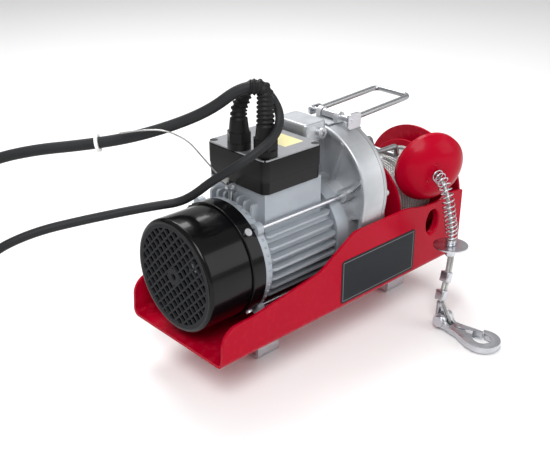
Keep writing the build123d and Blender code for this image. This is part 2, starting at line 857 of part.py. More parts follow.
terminal_box.part.label = "terminal_box"
export_step(terminal_box.part, "parts/terminal_box.step")

with BuildPart() as terminal_box_lid:
    with BuildSketch(Plane.XY.offset(box_seam)):
        with Locations((box_centre_x, 0)):
            RectangleRounded(box_length, box_width, 7)
    extrude(amount=box_top - box_seam)
    fillet(edges().group_by(Axis.Z)[-1], 1)
    with BuildSketch(Plane.XY.offset(box_seam)):
        with Locations((box_centre_x, 0)):
            RectangleRounded(box_length - 7, box_width - 7, 5)
    extrude(amount=box_top - box_seam - 3, mode=Mode.SUBTRACT)
    with BuildSketch(Plane.XY.offset(box_seam)):
        with Locations(*box_screw_points):
            Circle(3.6)
    extrude(amount=box_top - box_seam - 1)
    with BuildSketch(Plane.XY.offset(box_seam)):
        with Locations(*box_screw_points):
            Circle(2.3)
        with Locations(gland_a, gland_b):
            Circle(8.2)
    extrude(amount=box_top - box_seam, mode=Mode.SUBTRACT)
terminal_box_lid.part.label = "terminal_box_lid"
export_step(terminal_box_lid.part, "parts/terminal_box_lid.step")

with BuildPart() as cover_plate:
    with BuildSketch(Plane.XY.offset(box_top)):
        with Locations((box_centre_x, 0)):
            RectangleRounded(box_length - 1.5, box_width - 1.5, 6)
        with Locations(*box_screw_points):
            Circle(4.4, mode=Mode.SUBTRACT)
        with Locations(gland_a, gland_b):
            Circle(8.2, mode=Mode.SUBTRACT)
    extrude(amount=plate_thickness)
cover_plate.part.label = "cover_plate"
export_step(cover_plate.part, "parts/cover_plate.step")

with BuildPart() as box_screws:
    with BuildSketch(Plane.XY.offset(box_top)):
        with Locations(*box_screw_points):
            Circle(4)
    extrude(amount=1.2)
    with BuildSketch(Plane.XY.offset(box_top - 28)):
        with Locations(*box_screw_points):
            Circle(1.85)
    extrude(amount=28)

with BuildPart() as run_capacitor:
    with BuildSketch(Plane.YZ.offset(box_centre_x - 24)):
        with Locations((20, box_seam - 0.5)):
            Circle(10)
    extrude(amount=48)
    fillet(edges().filter_by(GeomType.CIRCLE), 1.5)
run_capacitor.part.label = "run_capacitor"
export_step(run_capacitor.part, "parts/run_capacitor.step")

with BuildPart() as terminal_strip:
    with BuildSketch(Plane.XY.offset(pedestal_top + 3)):
        with Locations((box_centre_x + 27, -12)):
            Rectangle(12, 40)
    extrude(amount=10)
    with BuildSketch(Plane.XY.offset(pedestal_top + 9)):
        with Locations(*[(box_centre_x + 27, -27 + 10 * step) for step in range(4)]):
            Circle(2.5)
    extrude(amount=4, mode=Mode.SUBTRACT)
terminal_strip.part.label = "terminal_strip"
export_step(terminal_strip.part, "parts/terminal_strip.step")

# ---------------------------------------------------------------- cable glands and boots
gland_base = box_top + plate_thickness
gland_top = base_z + 219.0


def gland(place, bore):
    """Screwed cable gland: threaded shank, ring, hexagon, domed nut and open bore."""
    with BuildPart() as made:
        with BuildSketch(Plane.XY.offset(box_top - 12)):
            with Locations(place):
                Circle(7.9)
        extrude(amount=14)
        with BuildSketch(Plane.XY.offset(gland_base)):
            with Locations(place):
                Circle(12)
        extrude(amount=7)
        with BuildSketch(Plane.XY.offset(gland_base + 7)):
            with Locations(place):
                RegularPolygon(12.6, 6)
        extrude(amount=11)
        with BuildSketch(Plane.XY.offset(gland_base + 18)):
            with Locations(place):
                Circle(10.4)
        extrude(amount=gland_top - gland_base - 18, taper=6)
        with BuildSketch(Plane.XY.offset(box_top - 12)):
            with Locations(place):
                Circle(bore)
        extrude(amount=gland_top - box_top + 12, mode=Mode.SUBTRACT)
    return made


gland_control = gland(gland_a, control_radius + snug_gap)

gland_mains = gland(gland_b, mains_radius + snug_gap)


def fillet_radii(points):
    """Largest tangent arcs for a route: 0.45 of the shorter run over the half turn's tangent."""
    places = [Vector(p) for p in points]
    radii = []
    for before, here, after in zip(places, places[1:], places[2:]):
        turn = (here - before).get_angle(after - here)
        radii.append(0.45 * min((here - before).length, (after - here).length) / tan(radians(turn / 2)))
    return radii


def tube(points, radius):
    """Round tube of straight runs and tangent arcs along a route."""
    radii = fillet_radii(points)
    with BuildPart() as made:
        with BuildLine() as route:
            FilletPolyline(*points, radius=radii)
        start = Vector(points[0])
        with BuildSketch(Plane(start, z_dir=Vector(points[1]) - start)):
            Circle(radius)
        sweep(path=route.wires()[0])
    length = route.wires()[0].length
    print("  arcs", [round(r, 1) for r in radii], "length", round(length, 1))
    print("  volume over section times length", round(made.part.volume / (pi * radius**2 * length), 4))
    return made


# Boots: flexible sleeves that carry each cable out of its gland and over.
boot_radius = 8.4
control_out = Vector(-0.718, 0.695, 0).normalized()
control_knee = Vector(gland_a[0], gland_a[1], base_z + 257)
control_start = control_knee + control_out * 12
mains_knee = Vector(gland_b[0], gland_b[1], base_z + 228)
mains_lean = Vector(0.46, -0.05, 0.88).normalized()
mains_start = mains_knee + mains_lean * 22

boot_routes = {
    "boot_control": [(gland_a[0], gland_a[1], gland_top), tuple(control_knee), tuple(control_start)],
    "boot_mains": [(gland_b[0], gland_b[1], gland_top), tuple(mains_knee), tuple(mains_start)],
}
boot_bends = {"boot_control": 11.5, "boot_mains": 16}


def boot(name):
    """Bent sleeve, taken as filled by the cable that runs through it."""
    points = boot_routes[name]
    start = Vector(points[0])
    with BuildPart() as made:
        with BuildLine() as route:
            FilletPolyline(*points, radius=[boot_bends[name]])
        with BuildSketch(Plane(start, z_dir=Vector(points[1]) - start)):
            Circle(boot_radius)
        sweep(path=route.wires()[0])
    return made


boot_control = boot("boot_control")

boot_mains = boot("boot_mains")

# ---------------------------------------------------------------- control cable and pendant
floor_control = control_radius + 0.2
control_route = [
    tuple(control_start),
    tuple(control_start + control_out * 13 + Vector(0, 0, -1.5)),
    (-41, 4, 285),
    (-66, 29, 269),
    (-100, 61, 255),
    (-134, 95, 247),
    (-168, 128, 242),
    (-200, 158, 232),
    (-228, 184, 212),
    (-250, 204, 180),
    (-266, 218, 140),
    (-277, 227, 100),
    (-289, 235, 64),
    (-306, 244, 33),
    (-332, 250, 14),
    (-362, 252, floor_control + 1),
    (-390, 252, floor_control),
]
print("control cable")
control_cable = tube(control_route, control_radius)
control_cable.part.label = "control_cable"
export_step(control_cable.part, "parts/control_cable.step")

# The rest of the control cable lies in a neat coil, and a short lead runs on to the pendant.
control_turn = 65.0
coil_layers = 6.4
pendant_seam = 16.0
control_coil_centre = (-390.0, 252.0 - control_turn)
control_lead_x = control_coil_centre[0] - control_turn + 0.8
control_lead_end = 78.0
with BuildPart() as control_coil:
    with BuildSketch(Plane.XY.offset(0.2)):
        with Locations(control_coil_centre):
            Circle(control_turn + control_radius)
            Circle(control_turn - control_radius, mode=Mode.SUBTRACT)
    extrude(amount=coil_layers * control_radius)
    with BuildSketch(side_plane(control_coil_centre[1] - 12)):
        with Locations((control_lead_x, pendant_seam)):
            Circle(control_radius - 0.1)
    extrude(amount=control_coil_centre[1] - 12 - control_lead_end)
control_coil.part.label = "control_coil"
export_step(control_coil.part, "parts/control_coil.step")

# Pendant: two handset shells on the ground, a rocker for up and down and a stop button.
pendant_x = control_lead_x
pendant_top_y = 76.0
pendant_length = 150.0
pendant_half = 24.0
pendant_height = 34.0
pendant_middle = pendant_top_y - pendant_length / 2
up_y = pendant_top_y - 78.0
down_y = pendant_top_y - 106.0
stop_y = pendant_top_y - 36.0
button_clearance = 0.5


def pendant_shell(low, high, inner_low, inner_high):
    """Half of the handset's case, hollow towards the seam."""
    with BuildPart() as made:
        with BuildSketch(Plane.XY.offset(low)):
            with Locations((pendant_x, pendant_middle)):
                RectangleRounded(2 * pendant_half, pendant_length, 14)
        extrude(amount=high - low)
        fillet(edges().group_by(Axis.Z)[0 if low < 10 else -1], 5)
        with BuildSketch(Plane.XY.offset(inner_low)):
            with Locations((pendant_x, pendant_middle)):
                RectangleRounded(2 * pendant_half - 5, pendant_length - 5, 11)
        extrude(amount=inner_high - inner_low, mode=Mode.SUBTRACT)
        with BuildSketch(Plane.XZ.offset(-pendant_top_y - 10)):
            with Locations((pendant_x, pendant_seam)):
                Circle(9 + snug_gap)
        extrude(amount=30, mode=Mode.SUBTRACT)
    return made


pendant_back = pendant_shell(0.3, pendant_seam, 2.8, pendant_seam)
pendant_back.part.label = "pendant_back"
export_step(pendant_back.part, "parts/pendant_back.step")

pendant_front = pendant_shell(pendant_seam, pendant_height, pendant_seam, pendant_height - 2.5)
with BuildPart() as pendant_openings:
    add(pendant_front.part)
    with BuildSketch(Plane.XY.offset(pendant_height - 3)):
        with Locations((pendant_x, up_y), (pendant_x, down_y)):
            RectangleRounded(22 + 2 * button_clearance, 22 + 2 * button_clearance, 5)
        with Locations((pendant_x, stop_y)):
            Circle(9 + button_clearance)
    extrude(amount=6, mode=Mode.SUBTRACT)
pendant_front = pendant_openings
pendant_front.part.label = "pendant_front"
export_step(pendant_front.part, "parts/pendant_front.step")


def push_button(y):
    """Square key with rounded corners and a wider foot that keeps it in the case."""
    with BuildPart() as made:
        with BuildSketch(Plane.XY.offset(pendant_height - 8)):
            with Locations((pendant_x, y)):
                RectangleRounded(22, 22, 4.5)
        extrude(amount=12)
        fillet(edges().group_by(Axis.Z)[-1], 1.5)
        with BuildSketch(Plane.XY.offset(pendant_height - 8)):
            with Locations((pendant_x, y)):
                RectangleRounded(25, 25, 4.5)
        extrude(amount=2.5)
    return made


pendant_up_button = push_button(up_y)
pendant_up_button.part.label = "pendant_up_button"
export_step(pendant_up_button.part, "parts/pendant_up_button.step")

pendant_down_button = push_button(down_y)
pendant_down_button.part.label = "pendant_down_button"
export_step(pendant_down_button.part, "parts/pendant_down_button.step")

with BuildPart() as pendant_stop_button:
    with BuildSketch(Plane.XY.offset(pendant_height - 10)):
        with Locations((pendant_x, stop_y)):
            Circle(9)
    extrude(amount=16)
    with BuildSketch(Plane.XY.offset(pendant_height + 5)):
        with Locations((pendant_x, stop_y)):
            Circle(15)
    extrude(amount=9)
    fillet(edges().group_by(Axis.Z)[-1], 4)
pendant_stop_button.part.label = "pendant_stop_button"
export_step(pendant_stop_button.part, "parts/pendant_stop_button.step")

# Sleeve that guards the cable where it enters the handset.
with BuildPart() as pendant_sleeve:
    with BuildSketch(Plane.XZ.offset(-pendant_top_y - 10)):
        with Locations((pendant_x, pendant_seam)):
            Circle(8)
            Circle(control_radius + snug_gap, mode=Mode.SUBTRACT)
    extrude(amount=14)
    with BuildSketch(Plane.XZ.offset(-pendant_top_y + 2)):
        with Locations((pendant_x, pendant_seam)):
            Circle(9)
            Circle(control_radius + snug_gap, mode=Mode.SUBTRACT)
    extrude(amount=3)

# ---------------------------------------------------------------- mains cable and plug
floor_mains = mains_radius + 0.2
mains_route = [
    tuple(mains_start),
    tuple(mains_start + mains_lean * 12),
    (17, -6, 309),
    (20, -22, 300),
    (14, -40, 286),
    (-4, -50, 272),
    (-30, -47, 258),
    (-48, -34, 242),
    (-60, -14, 220),
    (-66, 4, 203),
    (-74, 20, 191.5),
    (-92, 31, 190),
    (-118, 44, 188),
    (-160, 66, 183),
    (-200, 88, 176),
    (-236, 108, 160),
    (-262, 116, 132),
    (-280, 117, 96),
    (-292, 115, 58),
    (-304, 112, 28),
    (-322, 110, floor_mains + 3),
    (-345, 110, floor_mains),
]
print("mains cable")
mains_cable = tube(mains_route, mains_radius)
mains_cable.part.label = "mains_cable"
export_step(mains_cable.part, "parts/mains_cable.step")

mains_turn = 50.0
mains_coil_centre = (-345.0, 110.0 - mains_turn)
mains_lead_x = mains_coil_centre[0] - mains_turn + 0.8
mains_lead_z = 19.0
with BuildPart() as mains_coil:
    with BuildSketch(Plane.XY.offset(0.2)):
        with Locations(mains_coil_centre):
            Circle(mains_turn + mains_radius)
            Circle(mains_turn - mains_radius, mode=Mode.SUBTRACT)
    extrude(amount=coil_layers * mains_radius)
    with BuildSketch(side_plane(mains_coil_centre[1] - 12)):
        with Locations((mains_lead_x, mains_lead_z)):
            Circle(mains_radius - 0.1)
    extrude(amount=48)
mains_coil.part.label = "mains_coil"
export_step(mains_coil.part, "parts/mains_coil.step")

# Round two-pin earthed plug lying on its side.
plug_back = Vector(mains_lead_x, mains_coil_centre[1] - 60, mains_lead_z)
plug_heading = Vector(0, -1, 0)
plug_plane = Plane(plug_back, z_dir=plug_heading)
with BuildPart() as mains_plug:
    with BuildSketch(plug_plane):
        Circle(7.5)
    extrude(amount=22, taper=-9)
    with BuildSketch(plug_plane.offset(22)):
        Circle(18.6)
    extrude(amount=20)
    with BuildSketch(plug_plane.offset(16)):
        Circle(13)
    extrude(amount=8)
    fillet(edges().filter_by(GeomType.CIRCLE).sort_by(SortBy.RADIUS)[-2:], 3)
    with BuildSketch(plug_plane.offset(42)):
        with Locations((-9.5, 0), (9.5, 0)):
            Circle(2.4)
    extrude(amount=19)
    fillet(edges().filter_by(GeomType.CIRCLE).group_by(Axis.Y)[0], 1)
mains_plug.part.label = "mains_plug"
export_step(mains_plug.part, "parts/mains_plug.step")

# ---------------------------------------------------------------- strain wire
# Thin steel wire from an eye screw at the housing to the control cable, with a clip and a tie.
anchor = (station(79), 0.0)
anchor_top = base_z + 150.0
with BuildPart() as strain_anchor:
    with BuildSketch(Plane.XY.offset(shaft_z + 58)):
        with Locations(anchor):
            Circle(2.5)
    extrude(amount=anchor_top - shaft_z - 62)
    with BuildSketch(Plane.XZ.offset(2)):
        with Locations((anchor[0], anchor_top)):
            Circle(6)
            Circle(3.2, mode=Mode.SUBTRACT)
    extrude(amount=-4)

strain_route = [
    (anchor[0] - 3, 0, anchor_top + 6),
    (-36, 6, 216),
    (-50, 11, 236),
    (-63, 15, 255),
    (-82, 26, 268),
    (-98, 44, 267),
    (-112, 60, 263),
]
print("strain wire")
strain_line = tube(strain_route, strain_radius)
clip_heading = (Vector(*strain_route[1]) - Vector(*strain_route[0])).normalized()
clip_plane = Plane(Vector(*strain_route[0]), z_dir=clip_heading)
with BuildPart() as strain_wire:
    add(strain_line.part)
    with BuildSketch(clip_plane.offset(2)):
        RectangleRounded(8, 6, 1.5)
    extrude(amount=7)
strain_wire.part.label = "strain_wire"
export_step(strain_wire.part, "parts/strain_wire.step")

tie_at = Vector(-121.5, 82.5, 249.9)
tie_along = Vector(-34, 34, -8).normalized()
with BuildPart() as cable_tie:
    with BuildSketch(Plane(tie_at, z_dir=tie_along)):
        Circle(control_radius + 3.2)
        Circle(control_radius + 0.4, mode=Mode.SUBTRACT)
    extrude(amount=3)
cable_tie.part.label = "cable_tie"
export_step(cable_tie.part, "parts/cable_tie.step")

# ---------------------------------------------------------------- limit switches and their bails
switch_low = base_z + 177.0
switch_top = base_z + 197.0
limit_pivot_x = station(228)
limit_pivot_z = base_z + 194.0
case_top = case_upper_z + case_upper_radius

with BuildPart() as switch_housing:
    with BuildSketch(Plane.XY.offset(switch_low)):
        with Locations((station(188), 10)):
            RectangleRounded(33, 48, 6)
    extrude(amount=switch_top - switch_low)
    fillet(edges().group_by(Axis.Z)[-1], 3)
    with BuildSketch(Plane.XY.offset(case_top + 0.1)):
        with Locations((station(222), 4)):
            RectangleRounded(24, 30, 3)
    extrude(amount=1.2)
    for y in (-9, 17):
        with BuildSketch(side_plane(y + 3)):
            with Locations((limit_pivot_x, case_top + 3)):
                Rectangle(12, 6)
            with Locations((limit_pivot_x, limit_pivot_z)):
                Circle(6)
        extrude(amount=6)
        with BuildSketch(side_plane(y + 4)):
            with Locations((limit_pivot_x, limit_pivot_z)):
                Circle(bail_radius + running_gap)
        extrude(amount=8, mode=Mode.SUBTRACT)
    with BuildSketch(Plane.XY.offset(switch_low)):
        with Locations((station(187.5), 10)):
            RectangleRounded(26, 40, 3)
    extrude(amount=switch_top - switch_low - 3.5, mode=Mode.SUBTRACT)
    with BuildSketch(side_plane(-14)):
        with Locations((station(193), switch_low + 8)):
            Circle(5 + snug_gap)
    extrude(amount=10, both=True, mode=Mode.SUBTRACT)
switch_housing.part.label = "switch_housing"
export_step(switch_housing.part, "parts/switch_housing.step")

with BuildPart() as limit_switches:
    for y in (1, 20):
        with BuildSketch(Plane.XY.offset(switch_low + 1)):
            with Locations((station(187), y)):
                Rectangle(20, 8)
        extrude(amount=11)
limit_switches.part.label = "limit_switches"
export_step(limit_switches.part, "parts/limit_switches.step")

with BuildPart() as switch_plug:
    with BuildSketch(side_plane(-12)):
        with Locations((station(193), switch_low + 8)):
            Circle(5)
    extrude(amount=6)
    with BuildSketch(side_plane(-14)):
        with Locations((station(193), switch_low + 8)):
            Circle(6)
    extrude(amount=5)
    with BuildSketch(side_plane(-16)):
        with Locations((station(193), switch_low + 8)):
            RegularPolygon(3, 6)
    extrude(amount=3, mode=Mode.SUBTRACT)

limit_reach = station(329)
limit_half = 25.0
with BuildPart() as limit_bail:
    with BuildLine() as route:
        FilletPolyline(
            (limit_pivot_x + 5, -limit_half, limit_pivot_z + 0.5),
            (limit_reach, -limit_half, base_z + 200),
            (limit_reach, limit_half, base_z + 200),
            (limit_pivot_x + 5, limit_half, limit_pivot_z + 0.5),
            radius=[7, 7],
        )
    with BuildSketch(Plane.YZ.offset(limit_pivot_x + 5)):
        with Locations((-limit_half, limit_pivot_z + 0.5)):
            Circle(bail_radius)
    sweep(path=route.wires()[0])
limit_bail.part.label = "limit_bail"
export_step(limit_bail.part, "parts/limit_bail.step")

with BuildPart() as limit_shaft:
    with BuildSketch(side_plane(31)):
        with Locations((limit_pivot_x, limit_pivot_z)):
            Circle(bail_radius)
    extrude(amount=62)
    for side in (-1, 1):
        with BuildSketch(side_plane(side * (limit_half + bail_radius + 2.6))):
            with Locations((limit_pivot_x + 2, limit_pivot_z - 0.5)):
                RectangleRounded(20, 17 if side < 0 else 10, 4)
        extrude(amount=side * 2.6)
limit_shaft.part.label = "limit_shaft"
export_step(limit_shaft.part, "parts/limit_shaft.step")

with BuildPart() as bail_spring:
    with BuildSketch(side_plane(13)):
        with Locations((limit_pivot_x, limit_pivot_z)):
            Circle(4.5)
            Circle(3.5, mode=Mode.SUBTRACT)
    extrude(amount=18)
bail_spring.part.label = "bail_spring"
export_step(bail_spring.part, "parts/bail_spring.step")

slack_reach = station(321)
slack_half = 20.0
with BuildPart() as slack_bail:
    with BuildLine() as route:
        FilletPolyline(
            (slack_pivot_x, -slack_half, slack_pivot_z),
            (slack_reach - 5, -slack_half, slack_pivot_z),
            (slack_reach, -slack_half + 1, slack_pivot_z - 14),
            (slack_reach, slack_half - 1, slack_pivot_z - 14),
            (slack_reach - 5, slack_half, slack_pivot_z),
            (slack_pivot_x, slack_half, slack_pivot_z),
            radius=[5, 5, 5, 5],
        )
    with BuildSketch(Plane.YZ.offset(slack_pivot_x)):
        with Locations((-slack_half, slack_pivot_z)):
            Circle(bail_radius)
    sweep(path=route.wires()[0])
    with BuildSketch(side_plane(33)):
        with Locations((slack_pivot_x, slack_pivot_z)):
            Circle(slack_shaft_radius)
    extrude(amount=66)
slack_bail.part.label = "slack_bail"
export_step(slack_bail.part, "parts/slack_bail.step")

# ---------------------------------------------------------------- rope end
bell_axis = Vector(-0.42, -0.90, -0.12).normalized()
bell_rim = Vector(station(318), -71, base_z + 127)
bell_radius = 42.0
bell_height = 16.0
bell_apex = bell_rim + bell_axis * bell_height
bell_side = bell_axis.cross(Vector(0, 0, 1)).normalized()
bell_plane = Plane(bell_rim, x_dir=bell_side, z_dir=bell_side.cross(bell_axis))
bell_wall = 2.0
bell_bore = 3.4

with BuildPart() as stop_bell:
    with BuildSketch(bell_plane):
        with BuildLine():
            Polyline(
                (bell_bore, bell_height - bell_wall),
                (bell_bore, bell_height),
                (9, bell_height - 0.2),
            )
            ThreePointArc(
                (9, bell_height - 0.2), (30, bell_height - 5.4), (bell_radius - 3, 2.5)
            )
            Polyline(
                (bell_radius - 3, 2.5),
                (bell_radius, -1),
                (bell_radius, -6),
                (bell_radius - bell_wall, -6),
                (bell_radius - bell_wall, -1.2),
                (bell_radius - 4.6, 0.8),
            )
            ThreePointArc(
                (bell_radius - 4.6, 0.8), (29, bell_height - 7.5), (9, bell_height - bell_wall - 0.2)
            )
            Line((9, bell_height - bell_wall - 0.2), (bell_bore, bell_height - bell_wall))
        make_face()
    revolve(axis=Axis(bell_rim, bell_axis))
    with BuildSketch(Plane(bell_rim, x_dir=bell_side, z_dir=bell_axis)):
        with PolarLocations(13, 3, 40):
            Circle(1.3)
    extrude(amount=bell_height + 4, mode=Mode.SUBTRACT)
stop_bell.part.label = "stop_bell"
export_step(stop_bell.part, "parts/stop_bell.step")

washer_at = Vector(station(311), -113, base_z + 45)
washer_approach = Vector(station(311.3), -112.8, base_z + 59)
washer_up = (washer_approach - washer_at).normalized()
hook_pin_at = Vector(station(292), -125, 11.5)
upper_ferrule = Vector(station(305), -114.8, 58)
lower_ferrule = Vector(station(296), -116.6, 38)
rope_route = [
    (station(336), 9, base_z + 73.4 + 50),
    (station(336), -7, base_z + 132),
    (station(333), -24, base_z + 135),
    (station(327), -44, base_z + 129.5),
    tuple(bell_apex),
    tuple(bell_apex + bell_axis * 16 + Vector(0, 0, -1)),
    (station(301.5), -109.5, base_z + 108),
    (station(302.5), -113.2, base_z + 88),
    (station(306.5), -114.2, base_z + 73),
    tuple(washer_approach),
    tuple(washer_at - washer_up * 16),
    tuple(upper_ferrule),
    tuple(lower_ferrule + Vector(2.5, 0.6, 7.5)),
    tuple(lower_ferrule + Vector(-1.4, -0.8, -5)),
]
print("rope end")
rope_line = tube(rope_route, rope_radius)

spring_route = [
    tuple(bell_apex + bell_axis * 0.6),
    tuple(bell_apex + bell_axis * 16 + Vector(0, 0, -1)),
    (station(301.5), -109.5, base_z + 108),
    (station(302.5), -113.2, base_z + 88),
    (station(306.5), -114.2, base_z + 73),
    tuple(washer_approach),
    tuple(washer_at + washer_up * 8.5),
]
with BuildPart() as bell_spring:
    with BuildLine() as route:
        FilletPolyline(*spring_route, radius=fillet_radii(spring_route))
    with BuildSketch(Plane(Vector(*spring_route[0]), z_dir=bell_axis)):
        Circle(6.6)
        Circle(4.2, mode=Mode.SUBTRACT)
    sweep(path=route.wires()[0])
bell_spring.part.label = "bell_spring"
export_step(bell_spring.part, "parts/bell_spring.step")

washer_plane = Plane(washer_at, z_dir=washer_up)
with BuildPart() as stop_washer:
    with BuildSketch(washer_plane):
        Circle(20)
        Circle(rope_radius + 0.4, mode=Mode.SUBTRACT)
    extrude(amount=1.6)
stop_washer.part.label = "stop_washer"
export_step(stop_washer.part, "parts/stop_washer.step")

with BuildPart() as rope_ferrules:
    with BuildSketch(washer_plane.offset(1.65)):
        Circle(6.2)
    extrude(amount=6.5)
    with BuildSketch(washer_plane.offset(-11.6)):
        RegularPolygon(6.6, 6)
    extrude(amount=11.5)
    for middle, towards in (
        (upper_ferrule, Vector(0.33, 0.05, 0.94)),
        (lower_ferrule, Vector(0.30, 0.12, 0.94)),
    ):
        with BuildSketch(Plane(middle - towards * 6, x_dir=(1, 0, -0.32), z_dir=towards)):
            RectangleRounded(10, 12, 2.5)
        extrude(amount=12)
rope_ferrules.part.label = "rope_ferrules"
export_step(rope_ferrules.part, "parts/rope_ferrules.step")

# Rope eye round its thimble, upright across the hook's pin.
eye_up = Vector(0, 0.25, 0.97).normalized()
eye_centre = hook_pin_at + Vector(0, 0, 1.1)
eye_plane = Plane(eye_centre, x_dir=eye_up.cross(Vector(1, 0, 0)), z_dir=(1, 0, 0))
eye_tip = 17.0


def drop_outline(radius, tip_radius, mode=Mode.ADD):
    """Teardrop around the pin's eye on the current sketch."""
    with BuildSketch() as outline:
        Circle(radius)
        with Locations((0, eye_tip)):
            Circle(tip_radius)
        make_hull()
    add(outline.sketch, mode=mode)


with BuildPart() as thimble:
    with BuildSketch(eye_plane.offset(-3.2)):
        drop_outline(7.1, 2.6)
        drop_outline(5.5, 1.0, Mode.SUBTRACT)
    extrude(amount=6.4)
thimble.part.label = "thimble"
export_step(thimble.part, "parts/thimble.step")

with BuildPart() as rope_end:
    add(rope_line.part)
    with BuildSketch(eye_plane.offset(-rope_radius + 0.2)):
        drop_outline(11.1, 5.0)
        drop_outline(7.15, 2.65, Mode.SUBTRACT)
    extrude(amount=2 * rope_radius - 0.4)
rope_end.part.label = "rope_end"
export_step(rope_end.part, "parts/rope_end.step")

# Forged hook with a clevis on a riveted pin and a sprung latch, lying flat on the ground.
hook_low = 1.9
hook_thickness = 7.0
latch_pivot = hook_pin_at + Vector(3, -19, 0)


def along_hook(reach, across):
    """Point of the hook's outline, measured from the pin along and across the hook."""
    return (hook_pin_at.X + across, hook_pin_at.Y - reach)


with BuildPart() as hook:
    with BuildSketch(Plane.XY.offset(hook_low)):
        with Locations(along_hook(55, 0)):
            Circle(20)
        with BuildLine():
            Polyline(
                along_hook(13.5, -9),
                along_hook(13.5, 9),
                along_hook(22, 9),
                along_hook(36, -3),
                along_hook(50, -6),
                along_hook(55, -20),
                along_hook(44, -18.5),
                along_hook(26, -10.5),
                close=True,
            )
        make_face()
        with Locations(along_hook(54, 0.5)):
            Circle(10.5, mode=Mode.SUBTRACT)
        with BuildLine():
            Polyline(
                along_hook(56, 9.6),
                along_hook(50, 11.2),
                along_hook(46, 15),
                along_hook(43, 24),
                along_hook(24, 24),
                along_hook(24, 9),
                along_hook(37, -2.5),
                along_hook(50, -8.5),
                close=True,
            )
        make_face(mode=Mode.SUBTRACT)
    extrude(amount=hook_thickness)
    for side in (-1, 1):
        with BuildSketch(Plane.YZ.offset(hook_pin_at.X + side * 4.2)):
            with Locations((hook_pin_at.Y, hook_pin_at.Z)):
                Circle(8)
            with BuildLine():
                Polyline(
                    (hook_pin_at.Y, hook_pin_at.Z + 8),
                    (hook_pin_at.Y - 10, hook_low + hook_thickness + 1.8),
                    (hook_pin_at.Y - 14.2, hook_low + hook_thickness - 0.5),
                    (hook_pin_at.Y - 14.2, hook_low + 0.5),
                    (hook_pin_at.Y - 12, hook_low + 0.5),
                    (hook_pin_at.Y, hook_pin_at.Z - 8),
                    close=True,
                )
            make_face()
            with Locations((hook_pin_at.Y, hook_pin_at.Z)):
                Circle(4 + snug_gap, mode=Mode.SUBTRACT)
        extrude(amount=side * 4)
    with Locations((latch_pivot.X, latch_pivot.Y, hook_low)):
        Cylinder(1.5 + snug_gap, 40, mode=Mode.SUBTRACT)
hook.part.label = "hook"
export_step(hook.part, "parts/hook.step")

with BuildPart() as hook_pin:
    with BuildSketch(Plane.YZ.offset(hook_pin_at.X - 10.5)):
        with Locations((hook_pin_at.Y, hook_pin_at.Z)):
            Circle(4)
    extrude(amount=21)
    for side in (-1, 1):
        with BuildSketch(Plane.YZ.offset(hook_pin_at.X + side * 8.25)):
            with Locations((hook_pin_at.Y, hook_pin_at.Z)):
                Circle(6.5)
        extrude(amount=side * 3.4)
hook_pin.part.label = "hook_pin"
export_step(hook_pin.part, "parts/hook_pin.step")

latch_low = hook_low - 1.2
latch_high = hook_low + hook_thickness + 1.2
with BuildPart() as hook_latch:
    for level in (latch_low, latch_high - 0.9):
        with BuildSketch(Plane.XY.offset(level)):
            with Locations((latch_pivot.X, latch_pivot.Y)):
                Circle(4.2)
            with BuildLine():
                Polyline(
                    along_hook(19, -1.2),
                    along_hook(19, 7.1),
                    along_hook(47.6, 12),
                    along_hook(48, 9.4),
                    along_hook(30, 1.5),
                    close=True,
                )
            make_face()
            with Locations((latch_pivot.X, latch_pivot.Y)):
                Circle(1.5 + running_gap, mode=Mode.SUBTRACT)
        extrude(amount=0.9)
    with BuildSketch(Plane.XY.offset(latch_low)):
        with BuildLine():
            Polyline(
                along_hook(36, 10.1),
                along_hook(47.6, 12),
                along_hook(48, 10.4),
                along_hook(36, 8.6),
                close=True,
            )
        make_face()
    extrude(amount=latch_high - latch_low)
hook_latch.part.label = "hook_latch"
export_step(hook_latch.part, "parts/hook_latch.step")

with BuildPart() as latch_rivet:
    with BuildSketch(Plane.XY.offset(latch_low - 0.4)):
        with Locations((latch_pivot.X, latch_pivot.Y)):
            Circle(1.5)
    extrude(amount=latch_high - latch_low + 0.8)
latch_rivet.part.label = "latch_rivet"
export_step(latch_rivet.part, "parts/latch_rivet.step")

# ---------------------------------------------------------------- grouped small parts
# Front and rear strap, alike.
with BuildPart() as mounting_straps:
    add(mounting_strap_front.part)
    add(mounting_strap_rear.part)
mounting_straps.part.label = "mounting_straps"
export_step(mounting_straps.part, "parts/mounting_straps.step")

# Hexagon bolts and nuts of the straps and the gearbox foot.
with BuildPart() as frame_fasteners:
    add(strap_bolts.part)
    add(strap_nuts.part)
    add(foot_bolts.part)
frame_fasteners.part.label = "frame_fasteners"
export_step(frame_fasteners.part, "parts/frame_fasteners.step")

# Ball bearings of the motor, countershaft and drum, taken as plain rings.
with BuildPart() as ball_bearings:
    add(motor_bearings.part)
    add(countershaft_bearings.part)
    add(drum_bearings.part)
ball_bearings.part.label = "ball_bearings"
export_step(ball_bearings.part, "parts/ball_bearings.step")

# Screws of the end bearing, fan cover, gearbox, terminal box and switch housing, and the eye screw.
with BuildPart() as case_screws:
    add(end_bearing_screws.part)
    add(fan_cover_screws.part)
    add(gearbox_screws.part)
    add(box_screws.part)
    add(switch_plug.part)
    add(strain_anchor.part)
case_screws.part.label = "case_screws"
export_step(case_screws.part, "parts/case_screws.step")

# Two alike glands.
with BuildPart() as cable_glands:
    add(gland_control.part)
    add(gland_mains.part)
cable_glands.part.label = "cable_glands"
export_step(cable_glands.part, "parts/cable_glands.step")

# Rubber sleeves on the cables: at both glands and at the pendant.
with BuildPart() as cable_boots:
    add(boot_control.part)
    add(boot_mains.part)
    add(pendant_sleeve.part)
cable_boots.part.label = "cable_boots"
export_step(cable_boots.part, "parts/cable_boots.step")

